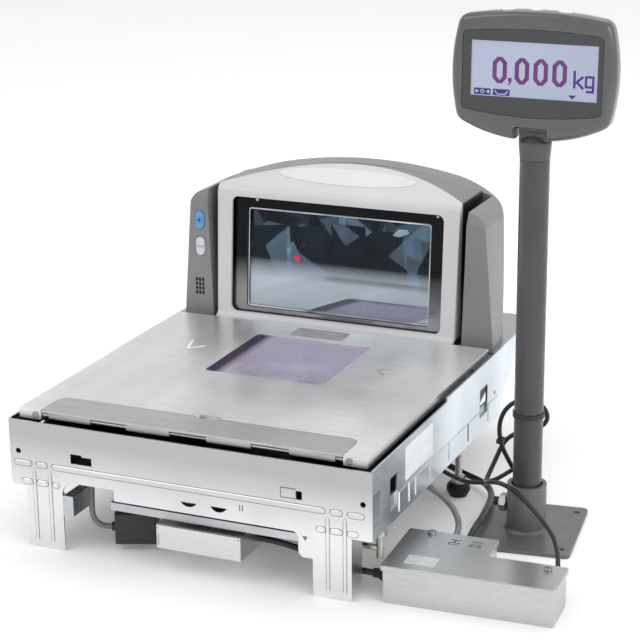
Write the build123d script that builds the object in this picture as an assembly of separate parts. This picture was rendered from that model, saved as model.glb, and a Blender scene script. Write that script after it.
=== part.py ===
from build123d import *
import math
import os

# Checkout scanner scale: a weighing platter with a scanner tower, in a sheet frame,
# with a customer display on a pole and a junction box beside it.
# Millimetres. X to the right, Y to the back, Z up from the floor.
# Parts are drawn about the scanner's centre line, with Y = 0 at the platter's front edge,
# and moved at the end so that the origin is the middle of the whole footprint.

# Platter
DECK_Z = 113.0
PLATTER_W = 292.0
PLATTER_D = 273.7
PLATE_T = 2.0
SKIRT = 8.0
RAIL_W = 254.6
RAIL_D = 34.0
RAIL_GAP = 0.5
GLASS_W = 106.0
GLASS_Y = (135.0, 240.7)
GLASS_CORNER = 4.0
SCOOP = (2.0, 34.5)
SCOOP_R = (11.0, 4.0)
KNUCKLE_PITCH = 68.5
KNUCKLE_L = 37.0
HINGE_Y = 3.6
HINGE_DROP = 4.6
HINGE_ROD_R = 1.5
RUNNING = 0.05

# Tower
TOWER_Y = 285.0
BEZEL_W = 225.6
BEZEL_Y = 281.9
BEZEL_LEAN = 8.9 / 110.0
BEZEL_BEND_Z = 229.5
CROWN_Z = 246.0
SHOULDER_Z = 231.0
HOOD_BACK = 349.0
WINDOW_W = 200.0
WINDOW_Z = (117.1, 221.2)
TOWER_WALL = 2.5
TOWER_FOOT_W = 294.5
TOWER_TOP_W = 277.0
COLUMN_FOOT_IN = 118.6
COLUMN_TOP_IN = 123.4
TOWER_BACK = 374.0

# Buttons on the tower's left column
BUTTON_W = 8.6
BUTTON_H = 17.0
BUTTON_X = -130.2
BLUE_Z = 197.8
WHITE_Z = 173.4
BUTTON_PROUD = 1.2
BUTTON_GAP = 0.3
SPEAKER = (-131.8, 136.0)

# Frame
SHEET = 1.5
FRAME_W = 307.0
FRAME_FRONT = -6.5
FRAME_TOP = 105.1
FRAME_LOW = 50.5
FRAME_BACK = 389.0
COVER_Z = 109.5
LEG_LEFT = (-139.5, -107.9)
LEG_RIGHT = (105.6, 136.9)
BEAD_H = 4.6
BEAD_PROUD = 0.9
UPPER_BEAD_Z = 69.5
LOWER_BEAD_Z = 54.5
LIP_Z = 58.5
LEDGE_Z = 53.5
TUB_W = 268.0
TUB_TOP = 98.0
TUB_WALL = 2.5
SPINNER_Y = 303.0

# Levelling feet, M6
FOOT_X = 141.0
FOOT_Y = 218.0
STUD_R = 3.0
HEX_FLATS = 10.0
FOOT_PAD_R = 9.9
FOOT_PAD_H = 11.0

# Display on its pole
POLE = (216.3, 168.0)
POLE_R = 11.5
POLE_TOP = 305.0
STAND_TURN = 7.0
STAND_PLATE = (80.0, 98.0, 3.0)
COLLAR_R = 15.75
COLLAR_TOP = 41.5
CLAMP_SCREW_R = 4.0
CLAMP_SCREW_Z = 22.0
DISPLAY_Z = 374.0
DISPLAY_TILT = -2.3
PIVOT_Z = 331.0
LCD_W = 97.9
LCD_H = 41.4
HEAD_FRONT = 152.5
HEAD_ROUND = 6.5
HEAD_SEAM = 165.0
HEAD_BACK = 191.0
HEAD_WALL = 2.2

# Interface box and coupler hung under the front
CASE_X = (-23.0, 48.6)
CASE_Y = (-12.0, 48.0)
CASE_Z = (19.5, 38.4)
COUPLER = (-60.0, 25.5)
COUPLER_TURN = 22.0
COUPLER_SIZE = (33.0, 25.0)
COUPLER_Z = (6.0, 31.0)
BOOT_Z = 16.0
BOOT_L = 3.5

# Junction box
BOX_CORNER = (156.0, 0.5)
BOX_TURN = 3.0
BOX_W = 132.5
BOX_DEEP = 73.5
BOX_WING_X = 71.5
BOX_WING_D = 42.5
BOX_H = 30.0

# Cords
GREY_R = 2.5
DATA_R = 2.7
THIN_R = 1.9
POLE_LEAD_R = 1.8
SUPPLY_R = 2.3
LINK_R = 2.5
PORT_Z = 14.0
LINK_PLUG = -11.0
CLAMP_X = (97.0, 112.0)
CLAMP_Z = 46.0

# Keys on the display
KEY_X = (-22.0, 0.0, 22.0)
KEY_Y = 159.6


# Drawing planes and small helpers


def facing_front(y):
    """Plane across the object, seen from the front: sketch X, Z."""
    return Plane(origin=(0, y, 0), x_dir=(1, 0, 0), z_dir=(0, -1, 0))


def facing_right(x):
    """Plane along the object, seen from the right: sketch Y, Z."""
    return Plane(origin=(x, 0, 0), x_dir=(0, 1, 0), z_dir=(1, 0, 0))


def facing_up(z):
    """Level plane: sketch X, Y."""
    return Plane(origin=(0, 0, z))


def block(x, y, z):
    """Rectangular solid between pairs of limits."""
    centre = [(low + high) / 2 for low, high in (x, y, z)]
    return Pos(*centre) * Box(x[1] - x[0], y[1] - y[0], z[1] - z[0])


def across(sketch, y0, y1):
    """Push an X, Z sketch through from y0 to y1."""
    return extrude(facing_front(y1) * sketch, y1 - y0, dir=(0, -1, 0))


def along(sketch, x0, x1):
    """Push a Y, Z sketch through from x0 to x1."""
    return extrude(facing_right(x0) * sketch, x1 - x0, dir=(1, 0, 0))


def upward(sketch, z0, z1):
    """Push an X, Y sketch up from z0 to z1."""
    return extrude(facing_up(z0) * sketch, z1 - z0, dir=(0, 0, 1))


def shape(*points):
    return Polygon(*points, align=None)


def window(x, y):
    """Rectangle between pairs of limits."""
    centre = Pos((x[0] + x[1]) / 2, (y[0] + y[1]) / 2)
    return centre * Rectangle(x[1] - x[0], y[1] - y[0])


def round_at(sketch, radius, *places):
    """Round the sketch corners nearest the given places."""
    corners = sketch.vertices()
    chosen = [min(corners, key=lambda v: math.dist((v.X, v.Y), place)) for place in places]
    return fillet(chosen, radius)


def rod(radius, x, y, z0, z1):
    """Upright round bar."""
    return upward(Pos(x, y) * Circle(radius), z0, z1)


def hexagon(flats, x, y, z0, z1):
    """Upright hexagon bar."""
    return upward(Pos(x, y) * RegularPolygon(flats / 2, 6, major_radius=False), z0, z1)


def mirrored(solid):
    return mirror(solid, Plane.YZ)


# Sheet frame


def front_outline():
    """Front sheet seen from the front, with its two legs and the tab beside the right one."""
    side = FRAME_W / 2
    lip_z = 49.3
    notch_z = 58.4
    notch_x = -61.7
    tab_x = 94.0
    tab_z = 29.5
    outline = shape(
        (-side, FRAME_TOP),
        (side, FRAME_TOP),
        (side, FRAME_LOW),
        (LEG_RIGHT[1], FRAME_LOW),
        (LEG_RIGHT[1], 0),
        (LEG_RIGHT[0], 0),
        (LEG_RIGHT[0], tab_z),
        (tab_x, tab_z),
        (tab_x, lip_z),
        (notch_x, lip_z),
        (notch_x, notch_z),
        (LEG_LEFT[1], notch_z),
        (LEG_LEFT[1], 0),
        (LEG_LEFT[0], 0),
        (LEG_LEFT[0], FRAME_LOW),
        (-side, FRAME_LOW),
    )
    outline = round_at(outline, 11, (LEG_LEFT[1], notch_z))
    outline = round_at(outline, 5, (-side, FRAME_LOW), (tab_x, tab_z), (tab_x, lip_z))
    feet = [(x, 0) for x in (*LEG_LEFT, *LEG_RIGHT)]
    return round_at(outline, 2, *feet, (side, FRAME_LOW))


def bead(x, z):
    """Pill-shaped swage pressed out of the front sheet."""
    pill = Pos((x[0] + x[1]) / 2, z) * SlotOverall(x[1] - x[0], BEAD_H)
    raised = across(pill, FRAME_FRONT - BEAD_PROUD, FRAME_FRONT)
    return chamfer(raised.faces().sort_by(Axis.Y)[0].edges(), BEAD_PROUD * 0.7)


def leg_bead(x):
    """Upright swage down a leg."""
    low = 5.0
    high = 66.0
    strip = Pos(x, (low + high) / 2) * Rot(0, 0, 90) * SlotOverall(high - low, 2.2)
    return across(strip, FRAME_FRONT - BEAD_PROUD * 0.6, FRAME_FRONT)


def front_panel():
    panel = across(front_outline(), FRAME_FRONT, FRAME_FRONT + SHEET)
    upper_beads = [(-150.3, -134.2), (-130.7, -120.2), (-116.6, 116.1), (119.8, 129.7), (133.6, 147.0)]
    lower_left = [(-144.0, -134.2), (-130.7, -120.2), (-116.6, -110.3)]
    lower_right = [(108.8, 116.1), (119.8, 129.6), (133.6, 142.3)]
    for limits in upper_beads:
        panel += bead(limits, UPPER_BEAD_Z)
    for limits in lower_left + lower_right:
        panel += bead(limits, LOWER_BEAD_Z)
    for x in (-132.4, -118.4, 117.9, 131.6):
        panel += leg_bead(x)
    left_slot = window((-99.0, -89.2), (75.0, 83.0)) + window((-89.4, -80.4), (75.0, 81.6))
    right_slot = window((92.6, 97.4), (75.2, 82.0))
    screw_holes = Pos(-146, 79.2) * Circle(2.25) + Pos(146, 79.2) * Circle(2.25)
    triangle = Pos(99.5, 45.5) * RegularPolygon(2.6, 3, rotation=30)
    cuts = left_slot + right_slot + screw_holes + triangle
    for x, drop in ((3.0, 3.6), (28.3, 4.1)):
        left = (x - 6.9, LIP_Z)
        right = (x + 6.9, LIP_Z)
        cuts += make_face(Line(left, right) + ThreePointArc(right, (x, LIP_Z - drop), left))
    panel -= across(cuts, FRAME_FRONT - 2, FRAME_FRONT + SHEET + 1)
    inside = FRAME_FRONT + SHEET
    for x in ((LEG_RIGHT[1] - SHEET, LEG_RIGHT[1]), (LEG_LEFT[0], LEG_LEFT[0] + SHEET)):
        flange = round_at(window((inside, 14.0), (6.0, FRAME_LOW - 1)), 5, (14.0, 6.0))
        panel += along(flange, *x)
    side_tab = round_at(window((inside, 8.6), (61.4, 85.6)), 2, (8.6, 61.4), (8.6, 85.6))
    side = FRAME_W / 2
    panel += along(side_tab, side - SHEET, side)
    panel += along(side_tab, -side, SHEET - side)
    return panel


def side_panel():
    """Right side sheet, with its windows, its lower row of pressed pads and the clipped rear corner."""
    front = FRAME_FRONT + SHEET
    step_y = 153.0
    step_z = FRAME_TOP + 0.8
    outline = shape(
        (front, FRAME_LOW),
        (front, step_z),
        (step_y, step_z),
        (step_y, COVER_Z),
        (FRAME_BACK - 2, COVER_Z),
        (FRAME_BACK - 2, 97.0),
        (333.0, 94.5),
        (289.0, 63.0),
        (286.0, FRAME_LOW),
    )
    outline = round_at(outline, 3, (FRAME_BACK - 2, 97.0), (286.0, FRAME_LOW), (289.0, 63.0))
    outline -= window((28.8, 43.3), (61.0, 87.0)) + window((235.0, 253.0), (65.0, 88.4))
    outline -= window((front - 1, 9.4), (60.6, 86.4))
    outline -= Pos(15.8, 71.3) * Circle(1.8) + Pos(273.4, 75.0) * Circle(1.8)
    outer = FRAME_W / 2
    panel = along(outline, outer - SHEET, outer)
    front_pads = [(46.0, 64.0), (67.0, 78.0), (81.0, 110.0), (113.0, 155.0)]
    rear_pads = [(158.0, 201.0), (204.0, 232.0), (256.0, 282.0)]
    for y0, y1 in front_pads + rear_pads:
        pad = along(window((y0, y1), (54.5, 70.5)), outer, outer + 0.8)
        panel += chamfer(pad.faces().sort_by(Axis.X)[-1].edges(), 0.5)
    hem = round_at(window((front, 286.0), (FRAME_LOW, FRAME_LOW + SHEET)), 0.5, (front, FRAME_LOW))
    panel += along(hem, outer - 4, outer - SHEET)
    return panel


def side_ledge():
    """Angle inside the side sheet that carries the scanner tub and the levelling foot."""
    wall = FRAME_W / 2 - SHEET
    shelf = window((128, wall), (LEDGE_Z - SHEET, LEDGE_Z))
    upstand = window((wall - SHEET, wall), (LEDGE_Z - SHEET, 72))
    ledge = across(shelf + upstand, FRAME_FRONT + SHEET, 284.0)
    return ledge - rod(STUD_R + 0.5, FOOT_X, FOOT_Y, 40, 60)


def rear_strap():
    """Cross strap under the ledges, bent down into the two rear legs."""
    top = LEDGE_Z - 1.5
    sheet = 2.0
    y0 = 262.0
    y1 = 286.0
    strap = block((-139.0, 139.0), (y0, y1), (top - sheet, top))
    lip = window((-110.0, 110.0), (41.0, top - sheet))
    strap += across(round_at(lip, 4, (-110, 41), (110, 41)), y0, y0 + sheet)
    legs = window((-104.0, -72.0), (0, top - sheet)) + window((72.0, 104.0), (0, top - sheet))
    legs = round_at(legs, 2, (-104, 0), (-72, 0), (72, 0), (104, 0))
    return strap + across(legs, y1 - sheet, y1)


def lower_channel():
    """Light channel under the front sheet, with the bent hanger at its left end."""
    inside = FRAME_FRONT + SHEET
    lip = window((inside, inside + 1.4), (41.0, 47.3))
    roof = window((inside, 16.0), (45.9, 47.3))
    bar = along(lip + roof, -65.8, 93.2)
    hanger = window((-74.0, -64.4), (42.0, LEDGE_Z)) - Pos(-68.5, 48.5) * Circle(1.5)
    bar += across(hanger, 16.0, 17.4)
    riser = window((80.0, 92.0), (45.9, LEDGE_Z))
    return bar + across(riser, 16.0, 17.4) + block((-65.8, -64.4), (inside, 17.4), (41.0, 47.3))


def leg_bracket():
    """Folded box bracket beside the left leg."""
    outer = block((LEG_LEFT[1], -98.6), (FRAME_FRONT, 24.0), (29.8, 47.0))
    outer = fillet(outer.edges().filter_by(Axis.Y), 1.0)
    hollow = block((LEG_LEFT[1] - 1, -99.8), (FRAME_FRONT + 1.2, 26.0), (31.0, 45.8))
    return outer - hollow


def jack_screw():
    """Hanging stud with its dome nut and cross rod, behind the front leg."""
    x = 145.5
    y = 28.0
    stud = rod(3.0, x, y, 23.0, LEDGE_Z - 1.5)
    nut = hexagon(10.0, x, y, 41.0, 46.0)
    dome = Pos(x, y, 46.0) * Sphere(4.6)
    rod_z = 31.0
    cross = extrude(facing_right(128.0) * Pos(y, rod_z) * Circle(2.2), x - 128.0)
    return stud + nut + (dome & block((x - 6, x + 6), (y - 6, y + 6), (46.0, 52.0))) + cross


# Levelling feet


def foot_stud():
    """Threaded stud with the spanner hexagon and washer above the rubber."""
    washer_top = FOOT_PAD_H + 1.2
    stud = rod(STUD_R, FOOT_X, FOOT_Y, FOOT_PAD_H, 63.0)
    stud = chamfer(stud.edges().sort_by(Axis.Z)[-1], 0.8)
    washer = rod(6.2, FOOT_X, FOOT_Y, FOOT_PAD_H, washer_top)
    return stud + washer + hexagon(HEX_FLATS, FOOT_X, FOOT_Y, washer_top, washer_top + 5.8)


def foot_pad():
    """Rubber foot, dished towards its washer."""
    r = FOOT_PAD_R
    profile = shape((0, 0), (r - 2.6, 0), (r, 5.0), (r, 8.6), (r - 1.6, FOOT_PAD_H), (0, FOOT_PAD_H))
    profile = round_at(profile, 1.4, (r, 5.0), (r, 8.6))
    pad = revolve(Plane.XZ * profile, Axis.Z)
    return Pos(FOOT_X, FOOT_Y, 0) * pad


def adjust_nut():
    """Adjusting nut that runs on the stud under the ledge."""
    top = LEDGE_Z - SHEET - 0.3
    nut = hexagon(HEX_FLATS, FOOT_X, FOOT_Y, top - 5.0, top)
    return nut - rod(STUD_R + RUNNING, FOOT_X, FOOT_Y, 30, 60)


# Scanner tub and what it holds


def scanner_tub():
    """Moulded tub that slopes up at the back, open at the top."""
    outer = shape((6, LEDGE_Z), (285, LEDGE_Z), (376, 86), (384, 86), (384, TUB_TOP), (6, TUB_TOP))
    outer = round_at(outer, 3, (6, LEDGE_Z), (376, 86))
    floor = LEDGE_Z + TUB_WALL
    brim = TUB_TOP + 1
    inner = shape((8.5, floor), (284.3, floor), (375.3, 88.5), (381.5, 88.5), (381.5, brim), (8.5, brim))
    half = TUB_W / 2
    tub = along(outer, -half, half) - along(inner, TUB_WALL - half, half - TUB_WALL)
    for y in (90.0, 262.0):
        tub += block((TUB_WALL - half, half - TUB_WALL), (y, y + TUB_WALL), (floor, 64.0))
    return tub


def cord_clamps():
    """Two saddle clamps under the tub, each closing on the end of a cord."""
    clamps = []
    for y, half in ((131.0, 6.0), (180.0, 5.0)):
        low = CLAMP_Z - half
        saddle = round_at(window((y - half, y + half), (low, LEDGE_Z)), 3, (y - half, low), (y + half, low))
        clamps.append(along(saddle, *CLAMP_X))
    return clamps


def load_cell():
    """Single-point weighing beam with its double bore."""
    y = (40.0, 70.0)
    z = (64.0, 86.0)
    profile = window((-68.0, 68.0), z)
    for x in (-11.0, 11.0):
        profile -= Pos(x, 75.0) * Circle(8.0)
    profile -= window((-11.0, 11.0), (71.5, 78.5))
    beam = across(profile, *y)
    foot = block((-68.0, -34.0), y, (LEDGE_Z + TUB_WALL, 64.0))
    head = block((34.0, 68.0), y, (86.0, 101.5))
    return beam + foot + head


def scale_spider():
    """Cast carrier on the load cell, an H whose four arm ends hold the platter."""
    plan = window((-118.0, 118.0), (41.0, 69.0))
    for x in (-110.0, 110.0):
        plan += window((x - 8.0, x + 8.0), (22.0, 262.0))
    plan = fillet(plan.vertices(), 4.0)
    spider = upward(plan, 101.5, 106.5)
    rib = block((-100.0, 100.0), (53.5, 56.5), (106.5, 108.5))
    return spider + rib


def platter_pads():
    """Four rubber bumpers under the platter."""
    top = DECK_Z - PLATE_T - 0.3
    pads = []
    for x in (-110.0, 110.0):
        for y in (54.0, 250.0):
            profile = shape((0, 106.5), (6.5, 106.5), (5.0, top), (0, top))
            pads.append(Pos(x, y, 0) * revolve(Plane.XZ * profile, Axis.Z))
    return pads


def optics_deck():
    """Cover over the optics, with the lower window's opening."""
    half = TUB_W / 2
    deck = window((-half, half), (90.0, 284.0))
    opening = fillet(window((-58.0, 58.0), (130.0, 246.0)).vertices(), 4)
    deck = upward(deck - opening, TUB_TOP, TUB_TOP + 2)
    rim = fillet(window((-61.0, 61.0), (127.0, 249.0)).vertices(), 5) - opening
    return deck + upward(rim, TUB_TOP + 2, TUB_TOP + 4)


def deck_window():
    """Glass under the platter's own glass."""
    pane = fillet(window((-57.8, 57.8), (130.2, 245.8)).vertices(), 4)
    return upward(pane, TUB_TOP, TUB_TOP + 2.5)


def spinner():
    """Faceted mirror wheel that sweeps the beam, each facet at its own slope."""
    sides = 4
    radius = 24.0
    wheel = rod(radius * 1.2, 0, 0, 0, 18.0)
    for index in range(sides):
        slope = -6.0 + 4.0 * index
        cutter = Pos(radius + 20, 0, 9) * Rot(0, slope, 0) * Box(40, 90, 60)
        wheel -= Rot(0, 0, 360 / sides * index) * cutter
    wheel -= rod(4.0 + RUNNING, 0, 0, -1, 19)
    return Pos(0, SPINNER_Y, 78.0) * wheel


def spinner_motor():
    """Motor can and shaft under the mirror wheel, on a bracket that follows the sloping floor."""
    y = SPINNER_Y
    can = rod(17.0, 0, y, 72.0, 77.5)
    shaft = rod(4.0, 0, y, 77.5, 97.0)
    bracket = upward(Pos(0, y) * Rectangle(52, 22), 55.0, 72.0)
    return can + shaft + (bracket - under_slope())


def under_slope():
    """Everything below the inside of the tub's sloping floor."""
    floor = LEDGE_Z + TUB_WALL
    return along(shape((200, 40), (200, floor), (284.3, floor), (375.3, 88.5), (375.3, 40)), -130, 130)


def laser_module():
    """Laser barrel in its block, aimed at the mirror wheel."""
    holder = block((-96.0, -70.0), (SPINNER_Y - 12, SPINNER_Y + 12), (78.0, 96.0))
    barrel = extrude(facing_right(-70.0) * Pos(SPINNER_Y, 87.0) * Circle(6.0), 16.0)
    foot = block((-90.0, -76.0), (SPINNER_Y - 6, SPINNER_Y + 6), (55.0, 78.0))
    return holder + barrel + (foot - under_slope())


def circuit_boards():
    """Main board on four posts in the tub, and the small board behind the tower keys with its sounder."""
    board = block((-110.0, 110.0), (150.0, 255.0), (62.0, 63.6))
    posts = []
    for x in (-104.0, 104.0):
        for y in (156.0, 249.0):
            posts.append(rod(3.0, x, y, LEDGE_Z + TUB_WALL, 62.0))
    chips = block((-60.0, -36.0), (180.0, 204.0), (63.6, 66.0))
    chips += block((10.0, 48.0), (190.0, 214.0), (63.6, 66.5))
    for post in posts:
        board += post
    key_board = block((-135.5, -126.0), (TOWER_Y + 9.0, TOWER_Y + 10.6), (124.0, 212.0))
    sounder = across(Pos(*SPEAKER) * Circle(6.0), TOWER_Y + 4.0, TOWER_Y + 9.0)
    return [board + chips, key_board + sounder]


# Tower


def lean_y(base_y, z):
    """Y of a plane that leans back with the tower's face."""
    return base_y + BEZEL_LEAN * (z - DECK_Z)


def behind_face(depth, solid):
    """Lean a solid back and set it that far behind the tower's face."""
    lean = math.degrees(math.atan(BEZEL_LEAN))
    return Pos(0, BEZEL_Y + depth, DECK_Z) * Rot(-lean, 0, 0) * Pos(0, 0, -DECK_Z) * solid


def arch_profile(foot_half, top_half, foot_z, shoulder_z, crown_z):
    """Outline seen from the front: leaning sides under a shallow arch."""
    right = (top_half, shoulder_z)
    left = (-top_half, shoulder_z)
    sides = Polyline(right, (foot_half, foot_z), (-foot_half, foot_z), left)
    arch = ThreePointArc(left, (0, crown_z), right)
    return make_face(sides + arch)


def bezel_side_profile(inset):
    """Outline seen from the side: leaning face, round bend and sloping hood."""
    face = BEZEL_Y + inset
    slope_top = CROWN_Z + 1.5 - inset
    bend_z = BEZEL_BEND_Z - inset
    profile = shape(
        (lean_y(face, DECK_Z - 5), DECK_Z - 5),
        (lean_y(face, bend_z), bend_z),
        (HOOD_BACK + inset * 4, slope_top),
        (HOOD_BACK + inset * 4, DECK_Z - 5),
    )
    return round_at(profile, 9.0 - inset, (lean_y(face, bend_z), bend_z))


def tower_bezel():
    """Light shroud on the platter: leaning window frame and the hood over it."""
    half = BEZEL_W / 2
    outer = across(arch_profile(half, half + 1.6, DECK_Z, SHOULDER_Z, CROWN_Z), 270, HOOD_BACK)
    outer &= along(bezel_side_profile(0), -half - 5, half + 5)
    wall = TOWER_WALL
    inner_arch = arch_profile(half - wall, half + 1.6 - wall, DECK_Z - 6, SHOULDER_Z - wall, CROWN_Z - wall)
    inner = across(inner_arch, 270, HOOD_BACK + 9)
    inner &= along(bezel_side_profile(wall), -half - 5, half + 5)
    hood = outer - inner
    side_relief = shape((300, 100), (306, 214), (HOOD_BACK + 5, 226), (HOOD_BACK + 5, 100))
    hood -= along(round_at(side_relief, 14, (306, 214)), -half - 6, half + 6)
    opening = window((-WINDOW_W / 2, WINDOW_W / 2), WINDOW_Z)
    opening = fillet(opening.vertices(), 6.0)
    hood -= across(opening, 270, 300)
    cove = make_face(
        Line((PLATTER_D, 111.2), (284.0, 111.2))
        + Line((284.0, 111.2), (284.0, 116.4))
        + Line((284.0, 116.4), (282.2, 116.4))
        + ThreePointArc((282.2, 116.4), (280.6, 113.8), (PLATTER_D, 112.8))
        + Line((PLATTER_D, 112.8), (PLATTER_D, 111.2))
    )
    return hood + along(cove, -half, half)


def bezel_inlay():
    """Smooth oval set in the hood."""
    half = BEZEL_W / 2
    slope = math.atan2(CROWN_Z + 1.5 - BEZEL_BEND_Z, HOOD_BACK - lean_y(BEZEL_Y, BEZEL_BEND_Z))
    plan = upward(Pos(-2.0, 321.5) * Ellipse(65.0, 13.5), 200, 260)
    skin_profile = arch_profile(half, half + 1.6, DECK_Z, SHOULDER_Z, CROWN_Z)
    skin = across(skin_profile, 270, HOOD_BACK) & along(bezel_side_profile(0), -half - 5, half + 5)
    lift = 0.5 / math.cos(slope)
    return (Pos(0, 0, lift) * skin & plan) - skin


def tower_housing():
    """Black optics housing behind the shroud, with the recessed window frame."""
    half = 107.0
    face = BEZEL_Y + 5.8
    back = 343.0
    top = 225.0
    low = TUB_TOP
    side = shape((lean_y(face, low), low), (lean_y(face, top), top), (back - 4, top), (back, low))
    side = round_at(side, 5, (lean_y(face, top), top))
    body = along(side, -half, half)
    body += block((-TUB_W / 2, TUB_W / 2), (lean_y(face, low), back), (low, low + 2))
    hollow = shape(
        (lean_y(face + 7, low - 1), low - 1),
        (lean_y(face + 7, top - 3), top - 3),
        (back - 7, top - 3),
        (back - 3, low - 1),
    )
    body -= along(hollow, 3 - half, half - 3)
    view = fillet(window((-87.0, 87.0), (121.0, 211.5)).vertices(), 3.0)
    body -= across(view, 270, 305)
    seat = fillet(window((-92.0, 92.0), (116.0, 216.5)).vertices(), 4.0)
    return body - behind_face(9.0, across(seat, 0, 20))


def tower_window():
    """Upright scan window, seated in the housing behind its frame."""
    pane = fillet(window((-91.7, 91.7), (116.3, 216.2)).vertices(), 3.7)
    return behind_face(9.0, across(pane, 0, 3.0))


def window_rim():
    """Bright metal edge round the view, just proud of the black frame."""
    rim = fillet(window((-86.8, 86.8), (121.4, 211.0)).vertices(), 3.0)
    rim -= fillet(window((-85.6, 85.6), (122.6, 209.8)).vertices(), 2.0)
    return behind_face(7.2, across(rim, 0, 1.6))


def pattern_mirrors():
    """Fan of flat mirrors that throws the beam out of the window, on its moulded back plate."""
    plate = block((-100.0, 100.0), (335.0, 336.3), (112.0, 205.0))
    solids = []
    middle = (0.0, 324.5, 0.0, 78.0)
    inner = [(side * 40.0, 322.0, side * -13.0, 74.0) for side in (-1, 1)]
    outer = [(side * 78.0, 318.5, side * -28.0, 66.0) for side in (-1, 1)]
    for x, y, turn, height in (outer[0], inner[0], middle, inner[1], outer[1]):
        place = Pos(x, y, 158.0) * Rot(0, 0, turn) * Rot(10, 0, 0)
        pane = place * Box(32, 2.5, height)
        arm = place * Pos(0, 20, 0) * Box(5, 40, 6)
        arm = arm & block((-104, 104), (280, 335.0), (100, 220))
        plate += arm - pane
        solids.append(pane)
    return [plate, *solids]


def tower_plan():
    """Half-round plan of the tower, square in front and drawn in behind."""
    half = TOWER_FOOT_W / 2
    side = 13.0
    right = Line((half, TOWER_Y), (half, TOWER_Y + side))
    corner = ThreePointArc((half, TOWER_Y + side), (129.0, 349.0), (84.0, TOWER_BACK))
    back = Line((84.0, TOWER_BACK), (-84.0, TOWER_BACK))
    mirror_corner = ThreePointArc((-84.0, TOWER_BACK), (-129.0, 349.0), (-half, TOWER_Y + side))
    left = Line((-half, TOWER_Y + side), (-half, TOWER_Y))
    front = Line((-half, TOWER_Y), (half, TOWER_Y))
    return make_face(right + corner + back + mirror_corner + left + front)


def tower_body(inset):
    """Outer form of the tower shell, or the space inside it."""
    foot = TOWER_FOOT_W / 2 - inset
    top = TOWER_TOP_W / 2 - inset
    shoulder = 221.0 - inset
    crown = CROWN_Z - 0.3 - inset
    low = COVER_Z - (1 if inset else 0)
    arch = arch_profile(foot, top, low, shoulder, crown)
    arch = round_at(arch, 14.0, (top, shoulder), (-top, shoulder))
    body = across(arch, TOWER_Y - 5, TOWER_BACK + 5)
    plan = tower_plan()
    if inset:
        plan = offset(plan, -inset)
    return body & upward(plan, 90, 260)


def tower_shell():
    """Dark horseshoe shell round the shroud, open in front, with a thin wall all over."""
    shell = tower_body(0)
    before = TOWER_Y - 6
    brow = TOWER_Y + 13
    nose = along(shape((before, 260), (before, 214), (TOWER_Y, 216), (brow, 246), (brow, 260)), -160, 160)
    shell -= nose
    hollow = tower_body(TOWER_WALL)
    hollow -= Pos(0, TOWER_WALL, -TOWER_WALL) * nose
    shell -= hollow
    bay = shape((-COLUMN_FOOT_IN, 100), (COLUMN_FOOT_IN, 100), (COLUMN_TOP_IN, 260), (-COLUMN_TOP_IN, 260))
    shell -= across(bay, 270, HOOD_BACK + 3)
    for side in (-1, 1):
        cheek = shape(
            (side * COLUMN_FOOT_IN, COVER_Z),
            (side * COLUMN_TOP_IN, 250),
            (side * (COLUMN_TOP_IN + 2), 250),
            (side * (COLUMN_FOOT_IN + 2), COVER_Z),
        )
        shell += across(cheek, TOWER_Y, HOOD_BACK + 5) & (tower_body(0) - nose)
    shell += block((-125, 125), (HOOD_BACK + 3, HOOD_BACK + 5), (COVER_Z, 260)) & tower_body(0)
    for z in (BLUE_Z, WHITE_Z):
        outline = SlotOverall(BUTTON_H + 2 * BUTTON_GAP, BUTTON_W + 2 * BUTTON_GAP)
        pocket = Pos(BUTTON_X, z) * Rot(0, 0, 90) * outline
        shell -= across(pocket, TOWER_Y - 1, TOWER_Y + TOWER_WALL + 1)
    for column in (-1, 0, 1):
        for row in (-1.5, -0.5, 0.5, 1.5):
            slit = Pos(SPEAKER[0] + 3.1 * column, SPEAKER[1] + 4.2 * row) * Rectangle(1.5, 3.4)
            shell -= across(slit, TOWER_Y - 1, TOWER_Y + TOWER_WALL + 1)
    return shell


def button(z):
    """Pill-shaped key that slides into the left column."""
    pill = Pos(BUTTON_X, z) * Rot(0, 0, 90) * SlotOverall(BUTTON_H, BUTTON_W)
    cap = across(pill, TOWER_Y - BUTTON_PROUD, TOWER_Y + 3.6)
    return fillet(cap.faces().sort_by(Axis.Y)[0].edges(), 1.0)


def rear_cover():
    """Flat cover behind and beside the tower, turned down at the back."""
    half = FRAME_W / 2 - SHEET
    top = COVER_Z
    plan = window((-half, half), (275.5, FRAME_BACK))
    plan = round_at(plan, 6, (-half, FRAME_BACK), (half, FRAME_BACK))
    plan -= window((-116.0, 116.0), (270.0, 347.0))
    cover = upward(plan, top - 2, top)
    skirt = block((-half + 6, half - 6), (FRAME_BACK - 2, FRAME_BACK), (88.0, top - 2))
    for index in range(12):
        x = -88.0 + 16.0 * index
        skirt -= block((x - 5, x + 5), (FRAME_BACK - 3, FRAME_BACK + 1), (94.0, 97.0))
    return cover + skirt


# Platter


def corner_block(side):
    """Folded front corner of the platter that carries the produce rail's rod."""
    inner = RAIL_W / 2 + RAIL_GAP
    outer = PLATTER_W / 2 + 1.2
    limits = sorted((side * inner, side * outer))
    return upward(window(limits, (0.0, 11.0)), DECK_Z - SKIRT, DECK_Z - PLATE_T)


def thumb_scoop():
    """Oval notch shared by the platter and the rail's back edge."""
    return Pos(*SCOOP) * Ellipse(*SCOOP_R)


def glass_outline(grow):
    """Outline of the platter's glass, larger by grow all round."""
    plan = window((-GLASS_W / 2 - grow, GLASS_W / 2 + grow), (GLASS_Y[0] - grow, GLASS_Y[1] + grow))
    corner = max(GLASS_CORNER + min(grow, 2.0), 3.0)
    return fillet(plan.vertices(), corner)


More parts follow.
